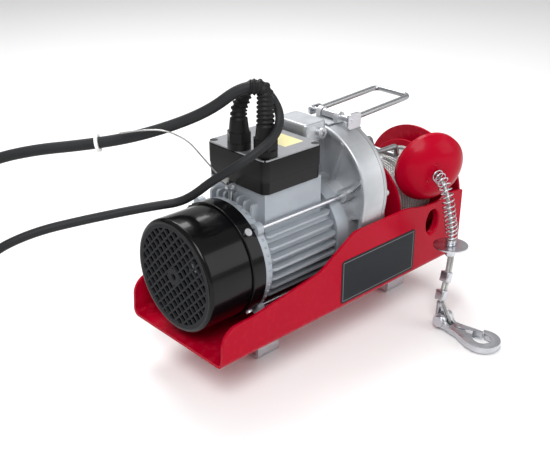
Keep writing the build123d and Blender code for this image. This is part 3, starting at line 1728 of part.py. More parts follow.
# Rotor pressed on its shaft, with the motor pinion cut on the shaft.
with BuildPart() as rotor:
    add(rotor_core.part)
    add(rotor_shaft.part)
rotor.part.label = "rotor"
export_step(rotor.part, "parts/rotor.step")
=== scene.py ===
from math import cos, pi, radians, sin, tau

import bpy
from mathutils import Matrix, Vector


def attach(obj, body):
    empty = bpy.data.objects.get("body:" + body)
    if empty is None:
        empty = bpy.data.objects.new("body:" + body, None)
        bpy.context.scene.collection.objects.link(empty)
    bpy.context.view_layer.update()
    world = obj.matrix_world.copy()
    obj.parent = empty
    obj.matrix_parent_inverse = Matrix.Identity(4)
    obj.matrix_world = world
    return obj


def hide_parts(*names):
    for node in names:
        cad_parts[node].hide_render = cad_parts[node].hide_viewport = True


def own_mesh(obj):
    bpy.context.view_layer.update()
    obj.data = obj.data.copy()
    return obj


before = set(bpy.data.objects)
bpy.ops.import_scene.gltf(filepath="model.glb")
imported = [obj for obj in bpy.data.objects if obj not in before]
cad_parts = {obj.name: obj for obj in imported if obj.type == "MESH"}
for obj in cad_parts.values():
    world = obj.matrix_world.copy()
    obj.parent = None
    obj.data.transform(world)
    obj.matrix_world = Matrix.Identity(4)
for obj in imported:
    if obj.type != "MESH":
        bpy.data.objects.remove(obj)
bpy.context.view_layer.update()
mm = 0.001

# ------------------------------------------------------------------ camera
# A 56 mm lens on a full-frame body looks down on the hoist from its motor end, on the side of the
# rope's free end.
right = Vector((0.7307, -0.6827, -0.0009))
up = Vector((0.2897, 0.3088, 0.9060))
back = Vector((-0.6182, -0.6622, 0.4234))
eye = Vector((-540.7, -619.9, 533.8)) * mm
bpy.ops.object.select_all(action="DESELECT")
bpy.ops.object.camera_add()
camera = bpy.context.object
camera.data.lens = 56.1
camera.data.sensor_width = 36
camera.data.clip_start = 0.05
turned = Matrix((right, up, back)).transposed().to_4x4()
camera.matrix_world = Matrix.Translation(eye) @ turned
bpy.context.scene.camera = camera

# ------------------------------------------------------------------ cables
# Two rubber cables leave the terminal box: the upper one runs to the pendant, the lower one to
# the mains plug. Extruded black rubber, each laid in a neat coil past the motor end.


class Shade:
    """One socket of a material, so that a recipe's sums read as plain arithmetic."""

    def __init__(self, tree, socket=None):
        self.tree = tree
        self.socket = socket

    def node(self, kind, settings=None, values=None, out=0):
        made = self.tree.nodes.new(kind)
        for name, value in (settings or {}).items():
            if name == "stops":
                elements = made.color_ramp.elements
                while len(elements) < len(value):
                    elements.new(0.5)
                for element, (place, colour) in zip(elements, value):
                    element.position = place
                    element.color = (*colour, 1)
            else:
                setattr(made, name, value)
        for name, value in (values or {}).items():
            feed(self.tree, made.inputs[name], value)
        return Shade(self.tree, made.outputs[out])

    def sum(self, operation, *terms):
        values = dict(enumerate(terms))
        return self.node("ShaderNodeMath", {"operation": operation}, values)

    def __add__(self, other):
        return self.sum("ADD", self, other)

    def __radd__(self, other):
        return self.sum("ADD", other, self)

    def __sub__(self, other):
        return self.sum("SUBTRACT", self, other)

    def __rsub__(self, other):
        return self.sum("SUBTRACT", other, self)

    def __mul__(self, other):
        return self.sum("MULTIPLY", self, other)

    def __rmul__(self, other):
        return self.sum("MULTIPLY", other, self)

    def __gt__(self, other):
        return self.sum("GREATER_THAN", self, other)

    def __lt__(self, other):
        return self.sum("LESS_THAN", self, other)

    def __abs__(self):
        return self.sum("ABSOLUTE", self)

    def blend(self, first, second):
        """Colour that goes from first to second as this value goes from 0 to 1."""
        settings = {"data_type": "RGBA"}
        return self.node("ShaderNodeMix", settings, {0: self, 6: first, 7: second}, out=2)


def feed(tree, socket, value):
    """Link a shade into a socket, or set the socket's own value."""
    if isinstance(value, Shade):
        tree.links.new(value.socket, socket)
    elif isinstance(value, tuple) and len(value) == 3 and socket.type == "RGBA":
        socket.default_value = (*value, 1)
    else:
        socket.default_value = value


class Finish:
    """A material with its shader, its place on the object and a few everyday textures."""

    def __init__(self, name, **shader_values):
        self.material = bpy.data.materials.new(name)
        self.material.use_nodes = True
        self.tree = self.material.node_tree
        self.shader = self.tree.nodes["Principled BSDF"]
        start = Shade(self.tree)
        self.place = start.node("ShaderNodeTexCoord", out=3)
        self.set(**shader_values)

    def set(self, **values):
        for name, value in values.items():
            feed(self.tree, self.shader.inputs[name.replace("_", " ")], value)

    def axis(self, index):
        return self.place.node("ShaderNodeSeparateXYZ", None, {0: self.place}, out=index)

    def noise(self, scale, detail=3.0, stretch=None):
        where = self.place
        if stretch is not None:
            where = where.node("ShaderNodeMapping", None, {"Vector": where, "Scale": stretch})
        values = {"Vector": where, "Scale": scale, "Detail": detail}
        return where.node("ShaderNodeTexNoise", None, values)

    def relief(self, height, strength, distance):
        values = {"Height": height, "Strength": strength, "Distance": distance}
        self.set(Normal=height.node("ShaderNodeBump", None, values))

    def edges(self, low, high):
        """1 on worn outward edges and 0 elsewhere."""
        pointed = self.place.node("ShaderNodeNewGeometry", out=7)
        values = {0: pointed, 1: low, 2: high, 3: 0.0, 4: 1.0}
        return pointed.node("ShaderNodeMapRange", {"clamp": True}, values)


def paint(finish, *names):
    """Give CAD nodes or new pieces one finish."""
    for name in names:
        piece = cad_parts.get(name) or bpy.data.objects[name]
        if not piece.material_slots:
            piece.data.materials.append(finish.material)
        for slot in piece.material_slots:
            slot.material = finish.material


cable_rubber = Finish("cable_rubber", Specular_IOR_Level=0.2)
smudge = cable_rubber.noise(38.0)
cable_rubber.set(Base_Color=smudge.blend((0.009, 0.0095, 0.0105), (0.021, 0.022, 0.024)))
cable_rubber.set(Roughness=0.42 + 0.22 * smudge)
cable_rubber.relief(cable_rubber.noise(900.0, 2.0), 0.12, 0.0004)


def cable(name, points, radius):
    """Round cable on one smooth NURBS line, with its points in millimetres."""
    line = bpy.data.curves.new(name, "CURVE")
    line.dimensions = "3D"
    spline = line.splines.new("NURBS")
    spline.points.add(len(points) - 1)
    for point, place in zip(spline.points, points):
        point.co = (*(Vector(place) * mm), 1)
    spline.order_u = 3
    spline.use_endpoint_u = True
    spline.resolution_u = 6
    line.bevel_depth = radius * mm
    line.bevel_resolution = 4
    line.use_fill_caps = True
    piece = bpy.data.objects.new(name, line)
    bpy.context.collection.objects.link(piece)
    return piece


def coil_turns(centre, turn_radius, cable_radius, lowest, turns):
    """Points of a coil that starts at its far side, heading -X, and climbs one cable a turn."""
    steps = 24
    reach = turn_radius / cos(pi / steps)
    points = []
    for step in range(1, int(turns * steps) + 1):
        angle = pi / 2 + tau * step / steps
        height = lowest + 2.05 * cable_radius * step / steps
        points.append((centre[0] + reach * cos(angle), centre[1] + reach * sin(angle), height))
    return points


control_radius = 5.8
control_route = [
    (-12.1, -22.7, 307),
    (-21.5, -13.6, 305.5),
    (-41, 4, 285),
    (-66, 29, 269),
    (-100, 61, 255),
    (-134, 95, 247),
    (-168, 128, 242),
    (-200, 158, 232),
    (-228, 184, 212),
    (-250, 204, 180),
    (-266, 218, 140),
    (-277, 227, 100),
    (-289, 235, 64),
    (-306, 244, 33),
    (-332, 251, 14),
    (-362, 252, 7),
    (-390, 252, 6),
]
control_route += coil_turns((-390, 187), 65, control_radius, 6, 2.25)
control_route += [
    (-455, 158, 31),
    (-455, 130, 24),
    (-454.6, 108, 17.5),
    (-454.2, 92, 16),
    (-454.2, 77, 16),
]
control_cable = cable("pendant_cable", control_route, control_radius)
paint(cable_rubber, "pendant_cable")
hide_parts("control_cable", "control_coil")
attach(control_cable, "frame")

mains_radius = 4.5
mains_route = [
    (1.7, 1.9, 297.4),
    (5.4, 0.4, 303),
    (13, -6, 300),
    (16, -21, 290),
    (11, -38, 276),
    (-6, -49, 263),
    (-31, -47, 250),
    (-49, -34, 236),
    (-60, -14, 220),
    (-66, 4, 203),
    (-74, 20, 191.5),
    (-92, 31, 190),
    (-118, 44, 188),
    (-160, 66, 183),
    (-200, 88, 176),
    (-236, 108, 160),
    (-262, 117, 132),
    (-280, 119, 96),
    (-292, 119, 58),
    (-303, 118, 26),
    (-322, 115, 8),
    (-345, 110.4, 4.7),
]
mains_route += coil_turns((-345, 60), 50, mains_radius, 4.7, 2.25)
mains_route += [
    (-395, 40, 24),
    (-394.6, 20, 20),
    (-394.2, 4, 19),
]
mains_cable = cable("mains_lead", mains_route, mains_radius)
paint(cable_rubber, "mains_lead")
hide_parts("mains_cable", "mains_coil")
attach(mains_cable, "frame")


def length_of(piece):
    """Places along a curve's own line, from its mesh without the bevel, and the line's length."""
    bare = piece.data.copy()
    bare.bevel_depth = 0
    probe = bpy.data.objects.new("probe", bare)
    mesh = bpy.data.meshes.new_from_object(probe)
    places = [vertex.co.copy() for vertex in mesh.vertices]
    bpy.data.objects.remove(probe)
    bpy.data.meshes.remove(mesh)
    return places, sum((b - a).length for a, b in zip(places, places[1:]))


control_length = length_of(control_cable)[1]
mains_length = length_of(mains_cable)[1]

# ------------------------------------------------------------------ cable boots
# Ribbed rubber sleeves moulded round each cable where it leaves its gland, and a third at the
# pendant. Soft black rubber with a rib every few millimetres.
boot_rubber = Finish("boot_rubber", Roughness=0.5, Specular_IOR_Level=0.14)
bloom = boot_rubber.noise(60.0)
boot_rubber.set(Base_Color=bloom.blend((0.006, 0.006, 0.0065), (0.016, 0.0165, 0.0175)))
boot_rubber.relief(boot_rubber.noise(700.0), 0.15, 0.0004)


def ribbed_sleeve(line, start, knee, end, bend, outer, groove, rib_pitch):
    """Add one sleeve to a curve: straight, then round a bend, in steps of ribs and grooves."""
    start, knee, end = (Vector(p) for p in (start, knee, end))
    turn_in = knee + (start - knee).normalized() * bend
    turn_out = knee + (end - knee).normalized() * bend
    places = [start, turn_in]
    for step in range(1, 9):
        t = step / 8
        places.append(turn_in * (1 - t) ** 2 + knee * (2 * t * (1 - t)) + turn_out * t**2)
    if (end - turn_out).length > 0.5:
        places.append(end)
    spans = [(b - a).length for a, b in zip(places, places[1:])]
    total = sum(spans)
    count = 4 * round(total / rib_pitch)
    spline = line.splines.new("POLY")
    spline.points.add(count)
    for index, point in enumerate(spline.points):
        wanted = total * index / count
        span = 0
        while span < len(spans) - 1 and wanted > spans[span]:
            wanted -= spans[span]
            span += 1
        place = places[span].lerp(places[span + 1], min(1.0, wanted / spans[span]))
        point.co = (*(place * mm), 1)
        point.radius = (outer if index % 4 in (0, 1) else groove) * (1 - 0.14 * index / count)


sleeves = bpy.data.curves.new("boot_sleeves", "CURVE")
sleeves.dimensions = "3D"
sleeves.bevel_depth = mm
sleeves.bevel_resolution = 5
sleeves.use_fill_caps = True
ribbed_sleeve(sleeves, (-3.5, -31, 268), (-3.5, -31, 307), (-14, -21, 306.6), 9, 9.3, 7.6, 4.6)
ribbed_sleeve(sleeves, (-8.5, 3, 268), (-8.5, 3, 278), (0.5, 2.0, 295), 5, 9.0, 7.2, 4.6)
ribbed_sleeve(sleeves, (-454.2, 72, 16), (-454.2, 79, 16), (-454.2, 87, 16), 2, 8.6, 7.4, 4.0)
boots = bpy.data.objects.new("boot_sleeves", sleeves)
bpy.context.collection.objects.link(boots)
paint(boot_rubber, "boot_sleeves")
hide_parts("cable_boots")
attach(boots, "frame")

# ------------------------------------------------------------------ frame, end plate and bell
# Channel pressed from 3 mm sheet, its end plate, the drum and the rope's stop bell. Powder
# coated in a deep glossy red, with a faint orange peel and slight wear along the edges.
red_enamel = Finish("red_enamel", Coat_Roughness=0.08, Specular_IOR_Level=0.06)
cloud = red_enamel.noise(14.0)
tone = cloud.blend((0.33, 0.0002, 0.012), (0.39, 0.0006, 0.017))
wear = red_enamel.edges(0.56, 0.66) * (red_enamel.noise(160.0) > 0.56)
red_enamel.set(Base_Color=(wear * 0.35).blend(tone, (0.50, 0.03, 0.05)))
red_enamel.set(Roughness=0.24 + 0.12 * red_enamel.noise(55.0), Coat_Weight=0.03 + 0.03 * cloud)
red_enamel.relief(red_enamel.noise(420.0, 2.0), 0.10, 0.0004)
paint(red_enamel, "frame_channel", "end_plate", "drum", "stop_bell")

# ------------------------------------------------------------------ straps and fasteners
# Hat-shaped straps bent from flat bar, bolted under the channel, with the other bolts, nuts and
# small fittings. All of it is bright zinc plated steel.
zinc = Finish("bright_zinc", Metallic=1.0)
streak = zinc.noise(90.0, 4.0, (1.0, 1.0, 6.0))
zinc.set(Base_Color=streak.blend((0.44, 0.45, 0.48), (0.66, 0.67, 0.70)))
zinc.set(Roughness=0.2 + 0.2 * streak)
zinc.relief(zinc.noise(700.0), 0.08, 0.0003)
paint(zinc, "mounting_straps", "frame_fasteners", "tie_rods", "limit_shaft")
paint(zinc, "bail_spring", "latch_rivet", "hook_pin", "stop_washer")

# The two switch bails are bent from drawn wire, darker than the plated parts.
bail_wire = Finish("bail_wire", Metallic=1.0)
drawn = bail_wire.noise(70.0, 4.0, (6.0, 1.0, 6.0))
bail_wire.set(Base_Color=drawn.blend((0.26, 0.27, 0.28), (0.46, 0.47, 0.48)))
bail_wire.set(Roughness=0.22 + 0.2 * drawn)
paint(bail_wire, "limit_bail", "slack_bail")


def softened(node, body, finish, width):
    """Copy of a CAD node's shape with its edges rounded over, standing for the node."""
    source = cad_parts[node]
    mesh = source.data.copy()
    piece = bpy.data.objects.new(node + "_rounded", mesh)
    bpy.context.collection.objects.link(piece)
    bpy.ops.object.select_all(action="DESELECT")
    bpy.context.view_layer.objects.active = piece
    piece.select_set(True)
    bpy.ops.object.mode_set(mode="EDIT")
    bpy.ops.mesh.select_all(action="SELECT")
    bpy.ops.mesh.remove_doubles(threshold=1e-6)
    bpy.ops.mesh.dissolve_limited(angle_limit=radians(1.5))
    bpy.ops.object.mode_set(mode="OBJECT")
    rounding = piece.modifiers.new("rounding", "BEVEL")
    rounding.width = width * mm
    rounding.segments = 3
    rounding.limit_method = "ANGLE"
    rounding.angle_limit = radians(38)
    rounding.use_clamp_overlap = True
    bpy.ops.object.modifier_apply(modifier="rounding")
    bpy.ops.object.shade_smooth_by_angle(angle=radians(32))
    paint(finish, piece.name)
    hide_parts(node)
    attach(piece, body)


# ------------------------------------------------------------------ case screws
# Zinc plated machine screws of the castings. The four that hold the box's lid are blackened.
screw_steel = Finish("screw_steel")
turned_face = screw_steel.noise(220.0, 3.0)
pedestal_height = 205 * mm
box_end = 78 * mm
lid_screw = (screw_steel.axis(2) > pedestal_height) * (screw_steel.axis(0) < box_end)
plated = turned_face.blend((0.40, 0.41, 0.43), (0.66, 0.67, 0.69))
screw_steel.set(Base_Color=lid_screw.blend(plated, (0.008, 0.008, 0.009)))
screw_steel.set(Metallic=1.0 - lid_screw, Roughness=0.24 + 0.2 * turned_face)
paint(screw_steel, "case_screws")

# ------------------------------------------------------------------ side panel
# Dark printed film on each side wall, with a thin pale line inside its border.
panel_middle = (128 * mm, 84 * mm)
panel_half = (62 * mm, 26 * mm)
line_from = 2.4 * mm
line_to = 3.1 * mm
panel_film = Finish("panel_film", Specular_IOR_Level=0.12)
inset_x = panel_half[0] - abs(panel_film.axis(0) - panel_middle[0])
inset_z = panel_half[1] - abs(panel_film.axis(2) - panel_middle[1])
inset = inset_x.sum("MINIMUM", inset_x, inset_z)
border = (inset > line_from) * (inset < line_to)
grain = panel_film.noise(240.0)
ground = grain.blend((0.010, 0.012, 0.015), (0.018, 0.020, 0.024))
panel_film.set(Base_Color=(border * 0.5).blend(ground, (0.35, 0.35, 0.36)))
panel_film.set(Roughness=0.38 + 0.12 * grain)
paint(panel_film, "side_panels")

# ------------------------------------------------------------------ fan cover and grille
# Drawn sheet cover in glossy black enamel, with a matte moulded grille snapped in its face.
black_enamel = Finish("black_enamel", Coat_Roughness=0.05, Specular_IOR_Level=0.12)
haze = black_enamel.noise(30.0)
black_enamel.set(Base_Color=haze.blend((0.0015, 0.0015, 0.002), (0.0035, 0.0035, 0.004)))
black_enamel.set(Roughness=0.14 + 0.14 * haze, Coat_Weight=0.1 + 0.08 * haze)
black_enamel.relief(black_enamel.noise(300.0, 2.0), 0.05, 0.0003)
paint(black_enamel, "fan_cover")

grille_plastic = Finish("grille_plastic", Specular_IOR_Level=0.12)
mottle = grille_plastic.noise(120.0)
grille_plastic.set(Base_Color=mottle.blend((0.012, 0.0125, 0.014), (0.026, 0.027, 0.030)))
grille_plastic.set(Roughness=0.55 + 0.2 * mottle)
grille_plastic.relief(grille_plastic.noise(1200.0), 0.2, 0.0003)
paint(grille_plastic, "fan_grille", "cooling_fan")

# ------------------------------------------------------------------ motor castings
# Finned motor housing and end shield, die cast in aluminium and sprayed a light bluish grey.
motor_grey = Finish("motor_grey", Metallic=0.35)
patchy = motor_grey.noise(26.0, 5.0)
grime = motor_grey.noise(9.0)
cast = patchy.blend((0.27, 0.30, 0.335), (0.40, 0.43, 0.465))
motor_grey.set(Base_Color=(grime * 0.25).blend(cast, (0.24, 0.25, 0.27)))
motor_grey.set(Roughness=0.38 + 0.2 * patchy)
motor_grey.relief(motor_grey.noise(650.0, 4.0), 0.28, 0.0005)
paint(motor_grey, "motor_housing", "motor_end_shield")

# ------------------------------------------------------------------ gearbox castings
# Gear case, its cover, the switch housing and the end bearing housing. Bare die cast
# aluminium, brighter than the motor, with the fine pebbled skin of the mould.
bare_casting = Finish("bare_casting", Metallic=0.8)
skin = bare_casting.noise(44.0, 5.0)
rubbed = bare_casting.edges(0.55, 0.64)
dull = skin.blend((0.36, 0.375, 0.395), (0.52, 0.535, 0.555))
bare_casting.set(Base_Color=(rubbed * 0.5).blend(dull, (0.82, 0.83, 0.84)))
bare_casting.set(Roughness=0.34 + 0.22 * skin)
bare_casting.relief(bare_casting.noise(800.0, 3.0), 0.3, 0.0005)
paint(bare_casting, "gearbox_housing", "gearbox_cover", "switch_housing", "end_bearing_housing")

gasket_paper = Finish("gasket_paper", Roughness=0.8)
fibre = gasket_paper.noise(500.0)
gasket_paper.set(Base_Color=fibre.blend((0.05, 0.05, 0.05), (0.10, 0.10, 0.09)))
paint(gasket_paper, "gearbox_gasket")

# ------------------------------------------------------------------ works inside
# Rotor, shafts, gears, bearings and stator plates: machined and ground steel. The windings are
# enamelled copper wire dipped in varnish.
ground_steel = Finish("ground_steel", Metallic=1.0)
turning = ground_steel.noise(150.0, 3.0, (8.0, 1.0, 1.0))
ground_steel.set(Base_Color=turning.blend((0.38, 0.38, 0.39), (0.58, 0.58, 0.60)))
ground_steel.set(Roughness=0.22 + 0.2 * turning)
paint(ground_steel, "rotor", "countershaft", "drum_gear", "drum_shaft")
paint(ground_steel, "ball_bearings", "stator_core")

copper_wire = Finish("copper_wire", Metallic=0.7)
varnish = copper_wire.noise(300.0, 2.0, (1.0, 6.0, 6.0))
copper_wire.set(Base_Color=varnish.blend((0.35, 0.10, 0.03), (0.62, 0.24, 0.10)))
copper_wire.set(Roughness=0.3 + 0.2 * varnish)
paint(copper_wire, "stator_windings")

# ------------------------------------------------------------------ terminal box
# Two-part box moulded in black plastic with a fine grain, screwed to the motor's pedestal. Its
# halves meet at a thin dark seam.
seam_height = 215 * mm
seam_half = 0.5 * mm
box_plastic = Finish("box_plastic", Specular_IOR_Level=0.14)
moulded = box_plastic.noise(20.0)
scuff = box_plastic.edges(0.55, 0.65) * 0.35
black = moulded.blend((0.003, 0.0026, 0.0029), (0.0075, 0.007, 0.0072))
seam = abs(box_plastic.axis(2) - seam_height) < seam_half
body_black = seam.blend(black, (0.0, 0.0, 0.0))
box_plastic.set(Base_Color=scuff.blend(body_black, (0.06, 0.06, 0.06)))
box_plastic.set(Roughness=0.3 + 0.16 * moulded)
box_plastic.relief(box_plastic.noise(1500.0, 2.0), 0.16, 0.0002)
paint(box_plastic, "terminal_box", "terminal_box_lid", "limit_switches", "terminal_strip")

# Cover plate of brushed aluminium. A pale yellow patch stands where the box has its label.
label_middle = (40 * mm, -10 * mm)
label_half = (13 * mm, 17 * mm)
plate_face = 237 * mm
plate = Finish("brushed_plate")
brushing = plate.noise(160.0, 4.0, (0.3, 9.0, 1.0))
label_x = abs(plate.axis(0) - label_middle[0]) < label_half[0]
label_y = abs(plate.axis(1) - label_middle[1]) < label_half[1]
label = label_x * label_y * (plate.axis(2) > plate_face)
bright = brushing.blend((0.22, 0.225, 0.235), (0.36, 0.365, 0.38))
plate.set(Base_Color=label.blend(bright, (0.72, 0.66, 0.33)))
plate.set(Roughness=0.3 + 0.2 * brushing, Metallic=0.75 - 0.75 * label)
paint(plate, "cover_plate", "run_capacitor")

# ------------------------------------------------------------------ cable glands and plug
# Screwed glands and the moulded mains plug, in black nylon.
nylon = Finish("black_nylon", Specular_IOR_Level=0.16)
satin = nylon.noise(70.0)
nylon.set(Base_Color=satin.blend((0.004, 0.004, 0.0045), (0.012, 0.012, 0.0125)))
nylon.set(Roughness=0.3 + 0.2 * satin)
nylon.relief(nylon.noise(900.0), 0.12, 0.0003)
paint(nylon, "cable_glands", "mains_plug")

# ------------------------------------------------------------------ pendant
# Two bright yellow shells screwed together, with white and black keys and a red stop button.
shell_yellow = Finish("shell_yellow")
speckle = shell_yellow.noise(80.0)
shell_yellow.set(Base_Color=speckle.blend((0.66, 0.36, 0.010), (0.76, 0.44, 0.018)))
shell_yellow.set(Roughness=0.36 + 0.14 * speckle)
shell_yellow.relief(shell_yellow.noise(1100.0), 0.15, 0.0003)
paint(shell_yellow, "pendant_front", "pendant_back")


def key_finish(name, low, high):
    """Smooth moulded key with a slight colour change."""
    made = Finish(name)
    drift = made.noise(90.0)
    made.set(Base_Color=drift.blend(low, high), Roughness=0.28 + 0.14 * drift)
    return made


paint(key_finish("white_key", (0.68, 0.68, 0.66), (0.80, 0.80, 0.78)), "pendant_up_button")
paint(key_finish("black_key", (0.010, 0.010, 0.011), (0.024, 0.024, 0.025)), "pendant_down_button")
paint(key_finish("red_key", (0.50, 0.005, 0.006), (0.62, 0.010, 0.012)), "pendant_stop_button")
paint(key_finish("white_nylon", (0.78, 0.78, 0.76), (0.88, 0.88, 0.86)), "cable_tie")

# ------------------------------------------------------------------ wire rope
# Galvanised steel rope of six strands laid round a core: full turns on the drum, then the free
# end through the stop bell and its ferrules to an eye round the thimble.
rope_steel = Finish("rope_steel", Metallic=0.95)
wires = rope_steel.noise(650.0, 3.0)
grease = rope_steel.noise(45.0)
strand = wires.blend((0.30, 0.30, 0.30), (0.66, 0.66, 0.65))
rope_steel.set(Base_Color=(grease * 0.4).blend(strand, (0.16, 0.15, 0.14)))
rope_steel.set(Roughness=0.28 + 0.25 * wires)
rope_steel.relief(wires, 0.4, 0.0004)

rope_radius = 2.25
lay_length = 24.0
strands = 6


def lay_rope(line, places, step):
    """Add six strands that twist round the line through the places, in millimetres."""
    ahead = [(b - a) for a, b in zip(places, places[1:])]
    total = sum(run.length for run in ahead)
    count = int(total / step)
    walked = 0.0
    span = 0
    stations = []
    for index in range(count + 1):
        wanted = total * index / count
        while span < len(ahead) - 1 and walked + ahead[span].length < wanted:
            walked += ahead[span].length
            span += 1
        share = min(1.0, (wanted - walked) / ahead[span].length)
        stations.append((places[span] + ahead[span] * share, ahead[span].normalized()))
    side = stations[0][1].orthogonal().normalized()
    frames = []
    for place, along in stations:
        side = (side - along * side.dot(along)).normalized()
        frames.append((place, side, along.cross(side)))
    for strand_index in range(strands):
        spline = line.splines.new("POLY")
        spline.points.add(count)
        for index, (place, side, other) in enumerate(frames):
            angle = tau * (strand_index / strands + total * index / count / lay_length)
            offset = side * cos(angle) + other * sin(angle)
            spline.points[index].co = (*((place + offset * rope_radius * 0.66) * mm), 1)


def rope_piece(name, runs, step):
    """Curve object of laid rope over one or more runs of points."""
    line = bpy.data.curves.new(name, "CURVE")
    line.dimensions = "3D"
    line.bevel_depth = rope_radius * 0.36 * mm
    line.bevel_resolution = 1
    line.use_fill_caps = True
    for places in runs:
        lay_rope(line, places, step)
    piece = bpy.data.objects.new(name, line)
    bpy.context.collection.objects.link(piece)
    paint(rope_steel, name)
    return piece


shaft_z = 124.5
wound_radius = 43.5
drum_front = 185.8
drum_width = 73.4
turns = 16
turn_pitch = drum_width / turns
steps_a_turn = 30
last_step = turns * steps_a_turn - 18
winding = []
for step in range(last_step):
    angle = tau * step / steps_a_turn
    across = drum_front + turn_pitch * (0.5 + step / steps_a_turn)
    winding.append(
        Vector((across, wound_radius * cos(angle), shaft_z + wound_radius * sin(angle)))
    )
wound = rope_piece("wound_rope_turns", [winding], 3.4)
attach(wound, "drum")

# The layers below, as one bed of rope with slightly sunk ends.
bed_radius = 43.6
bed_length = 73.2
bed_middle = 222.6
bpy.ops.object.select_all(action="DESELECT")
bpy.ops.mesh.primitive_cylinder_add(
    vertices=96,
    radius=bed_radius * mm,
    depth=bed_length * mm,
    location=(bed_middle * mm, 0, shaft_z * mm),
    rotation=(0, pi / 2, 0),
)
rope_bed = bpy.context.object
rope_bed.name = "rope_bed"
bpy.ops.object.transform_apply(location=True, rotation=True, scale=True)
bpy.ops.object.mode_set(mode="EDIT")
bpy.ops.mesh.select_all(action="SELECT")
bpy.ops.mesh.inset(thickness=1.2 * mm, depth=-0.6 * mm, use_individual=False)
bpy.ops.object.mode_set(mode="OBJECT")
bpy.ops.object.shade_smooth_by_angle(angle=radians(30))
paint(rope_steel, "rope_bed")
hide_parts("wound_rope")
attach(rope_bed, "drum")

rope_route = [
    (233.5, 9, 173.4),
    (233.5, -7, 182),
    (230.5, -24, 185),
    (224.5, -44, 179.5),
    (208.8, -85.4, 175.1),
    (202.1, -99.8, 172.2),
    (199, -109.5, 158),
    (200, -113.2, 138),
    (204, -114.2, 123),
    (208.8, -112.8, 109),
    (208.2, -113.2, 79),
    (202.5, -114.8, 58),
    (196, -116, 45.5),
    (192.1, -117.4, 33),
]
rope_guide = cable("rope_guide", rope_route, rope_radius)
rope_line, rope_length = length_of(rope_guide)
bpy.data.objects.remove(rope_guide)
rope_places = [place / mm for place in rope_line]

# The eye bends round the thimble and both its legs meet in the lower ferrule. The dead end lies
# beside the live rope up to the washer.
eye_centre = Vector((189.5, -125, 12.6))
eye_up = Vector((0, 0.2496, 0.9684))
eye_side = Vector((0, -0.9684, 0.2496))
eye_radius = 9.1
leg_top = eye_centre + eye_up * 20
leg_gap = eye_side * 3.4
eye_loop = [leg_top - leg_gap]
for step in range(37):
    angle = radians(-215 + 250 * step / 36)
    aside = eye_side * (eye_radius * cos(angle))
    eye_loop.append(eye_centre + aside + eye_up * (eye_radius * sin(angle)))
eye_loop.append(leg_top + leg_gap)
dead_end_aside = Vector((3.9, -1.2, 0))
ferrule_height = 40
washer_height = 99
dead_end = [
    place + dead_end_aside for place in rope_places if ferrule_height < place.z < washer_height
]
rope_end = rope_piece("rope_free_end", [rope_places], 2.2)
rope_eye = rope_piece("rope_eye", [eye_loop, dead_end], 2.2)
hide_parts("rope_end")
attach(rope_end, "frame")
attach(rope_eye, "frame")

# ------------------------------------------------------------------ rope fittings
# Pressed ferrules, the washer that the spring bears on, the thimble in the rope's eye, and the
# coil spring between the washer and the bell. All are zinc plated steel.
softened("rope_ferrules", "frame", zinc, 1.0)
softened("thimble", "frame", zinc, 0.6)

bell_apex = Vector(rope_route[4])
spring_end = Vector((208.7, -112.9, 104))
nearest_bell = min(range(len(rope_places)), key=lambda i: (rope_places[i] - bell_apex).length)
nearest_end = min(range(len(rope_places)), key=lambda i: (rope_places[i] - spring_end).length)
spring_line = rope_places[nearest_bell : nearest_end + 1]
spring_pitch = 5.8
spring_radius = 6.6
wire_radius = 0.8
steps_a_coil = 14
runs = [b - a for a, b in zip(spring_line, spring_line[1:])]
walked = 0.0
side = runs[0].orthogonal().normalized()
spring_curve = bpy.data.curves.new("stop_spring", "CURVE")
spring_curve.dimensions = "3D"
spring_curve.bevel_depth = wire_radius * mm
spring_curve.bevel_resolution = 2
spring_curve.use_fill_caps = True
spring_places = []
for start, run in zip(spring_line, runs):
    along = run.normalized()
    side = (side - along * side.dot(along)).normalized()
    other = along.cross(side)
    steps = max(2, int(run.length / spring_pitch * steps_a_coil))
    for step in range(steps):
        share = step / steps
        angle = tau * (walked + run.length * share) / spring_pitch
        ring = (side * cos(angle) + other * sin(angle)) * spring_radius
        spring_places.append(start + run * share + ring)
    walked += run.length
spring_spline = spring_curve.splines.new("POLY")
spring_spline.points.add(len(spring_places) - 1)
for point, place in zip(spring_spline.points, spring_places):
    point.co = (*(place * mm), 1)
stop_spring = bpy.data.objects.new("stop_spring", spring_curve)
bpy.context.collection.objects.link(stop_spring)
bpy.ops.object.select_all(action="DESELECT")
bpy.context.view_layer.objects.active = stop_spring
stop_spring.select_set(True)
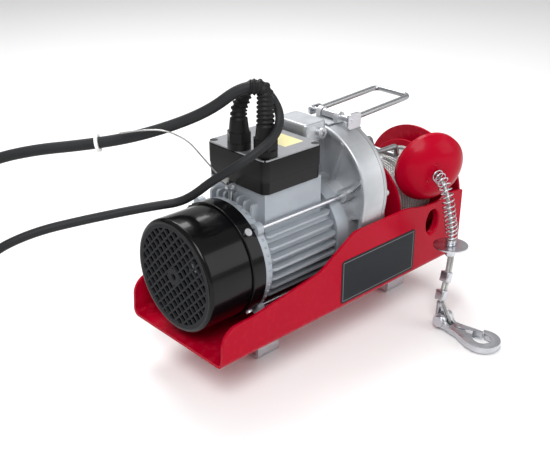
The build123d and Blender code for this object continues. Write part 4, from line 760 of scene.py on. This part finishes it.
bpy.ops.object.convert(target="MESH")
paint(zinc, "stop_spring")
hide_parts("bell_spring")
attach(stop_spring, "frame")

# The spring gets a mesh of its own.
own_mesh(stop_spring)

# ------------------------------------------------------------------ hook
# Drop forged steel hook that hangs by two ears on a riveted pin, with a latch bent from thin
# sheet on its own rivet. All of it is zinc plated.
softened("hook", "hook", zinc, 1.3)
softened("hook_latch", "hook_latch", zinc, 0.25)

# ------------------------------------------------------------------ strain wire
# Thin stranded steel wire from the eye screw in the motor to the pendant's cable, where a crimped
# clip holds it, so that a pull on the cable doesn't reach the gland.
softened("strain_wire", "frame", rope_steel, 0.15)

# ------------------------------------------------------------------ floor and lights
# Plain pale floor that runs well past the object, and three soft panels of light with a weak
# white sky round them.
bpy.ops.object.select_all(action="DESELECT")
bpy.ops.mesh.primitive_plane_add(size=12, location=(0, 0, 0))
floor = bpy.context.object
floor.name = "studio_floor"
floor_paint = Finish("studio_floor", Roughness=0.5)
floor_paint.set(Base_Color=floor_paint.noise(3.0).blend((0.86, 0.86, 0.86), (0.89, 0.89, 0.89)))
paint(floor_paint, "studio_floor")


def soft_light(name, place, size, power):
    """Square panel of light aimed at the middle of the hoist."""
    light = bpy.data.lights.new(name, "AREA")
    light.energy = power
    light.size = size
    lamp = bpy.data.objects.new(name, light)
    lamp.location = place
    aim = Vector((0.09, 0, 0.12)) - Vector(place)
    lamp.rotation_euler = aim.to_track_quat("-Z", "Y").to_euler()
    bpy.context.collection.objects.link(lamp)


soft_light("key_light", (-1.0, -0.9, 1.7), 1.0, 34)
soft_light("fill_light", (1.0, -1.5, 0.9), 1.2, 10)
soft_light("rim_light", (0.5, 0.9, 1.7), 1.0, 26)
world = bpy.data.worlds.new("studio")
world.use_nodes = True
world.node_tree.nodes["Background"].inputs["Color"].default_value = (1, 1, 1, 1)
world.node_tree.nodes["Background"].inputs["Strength"].default_value = 0.5
bpy.context.scene.world = world
bpy.context.scene.view_settings.view_transform = "Standard"
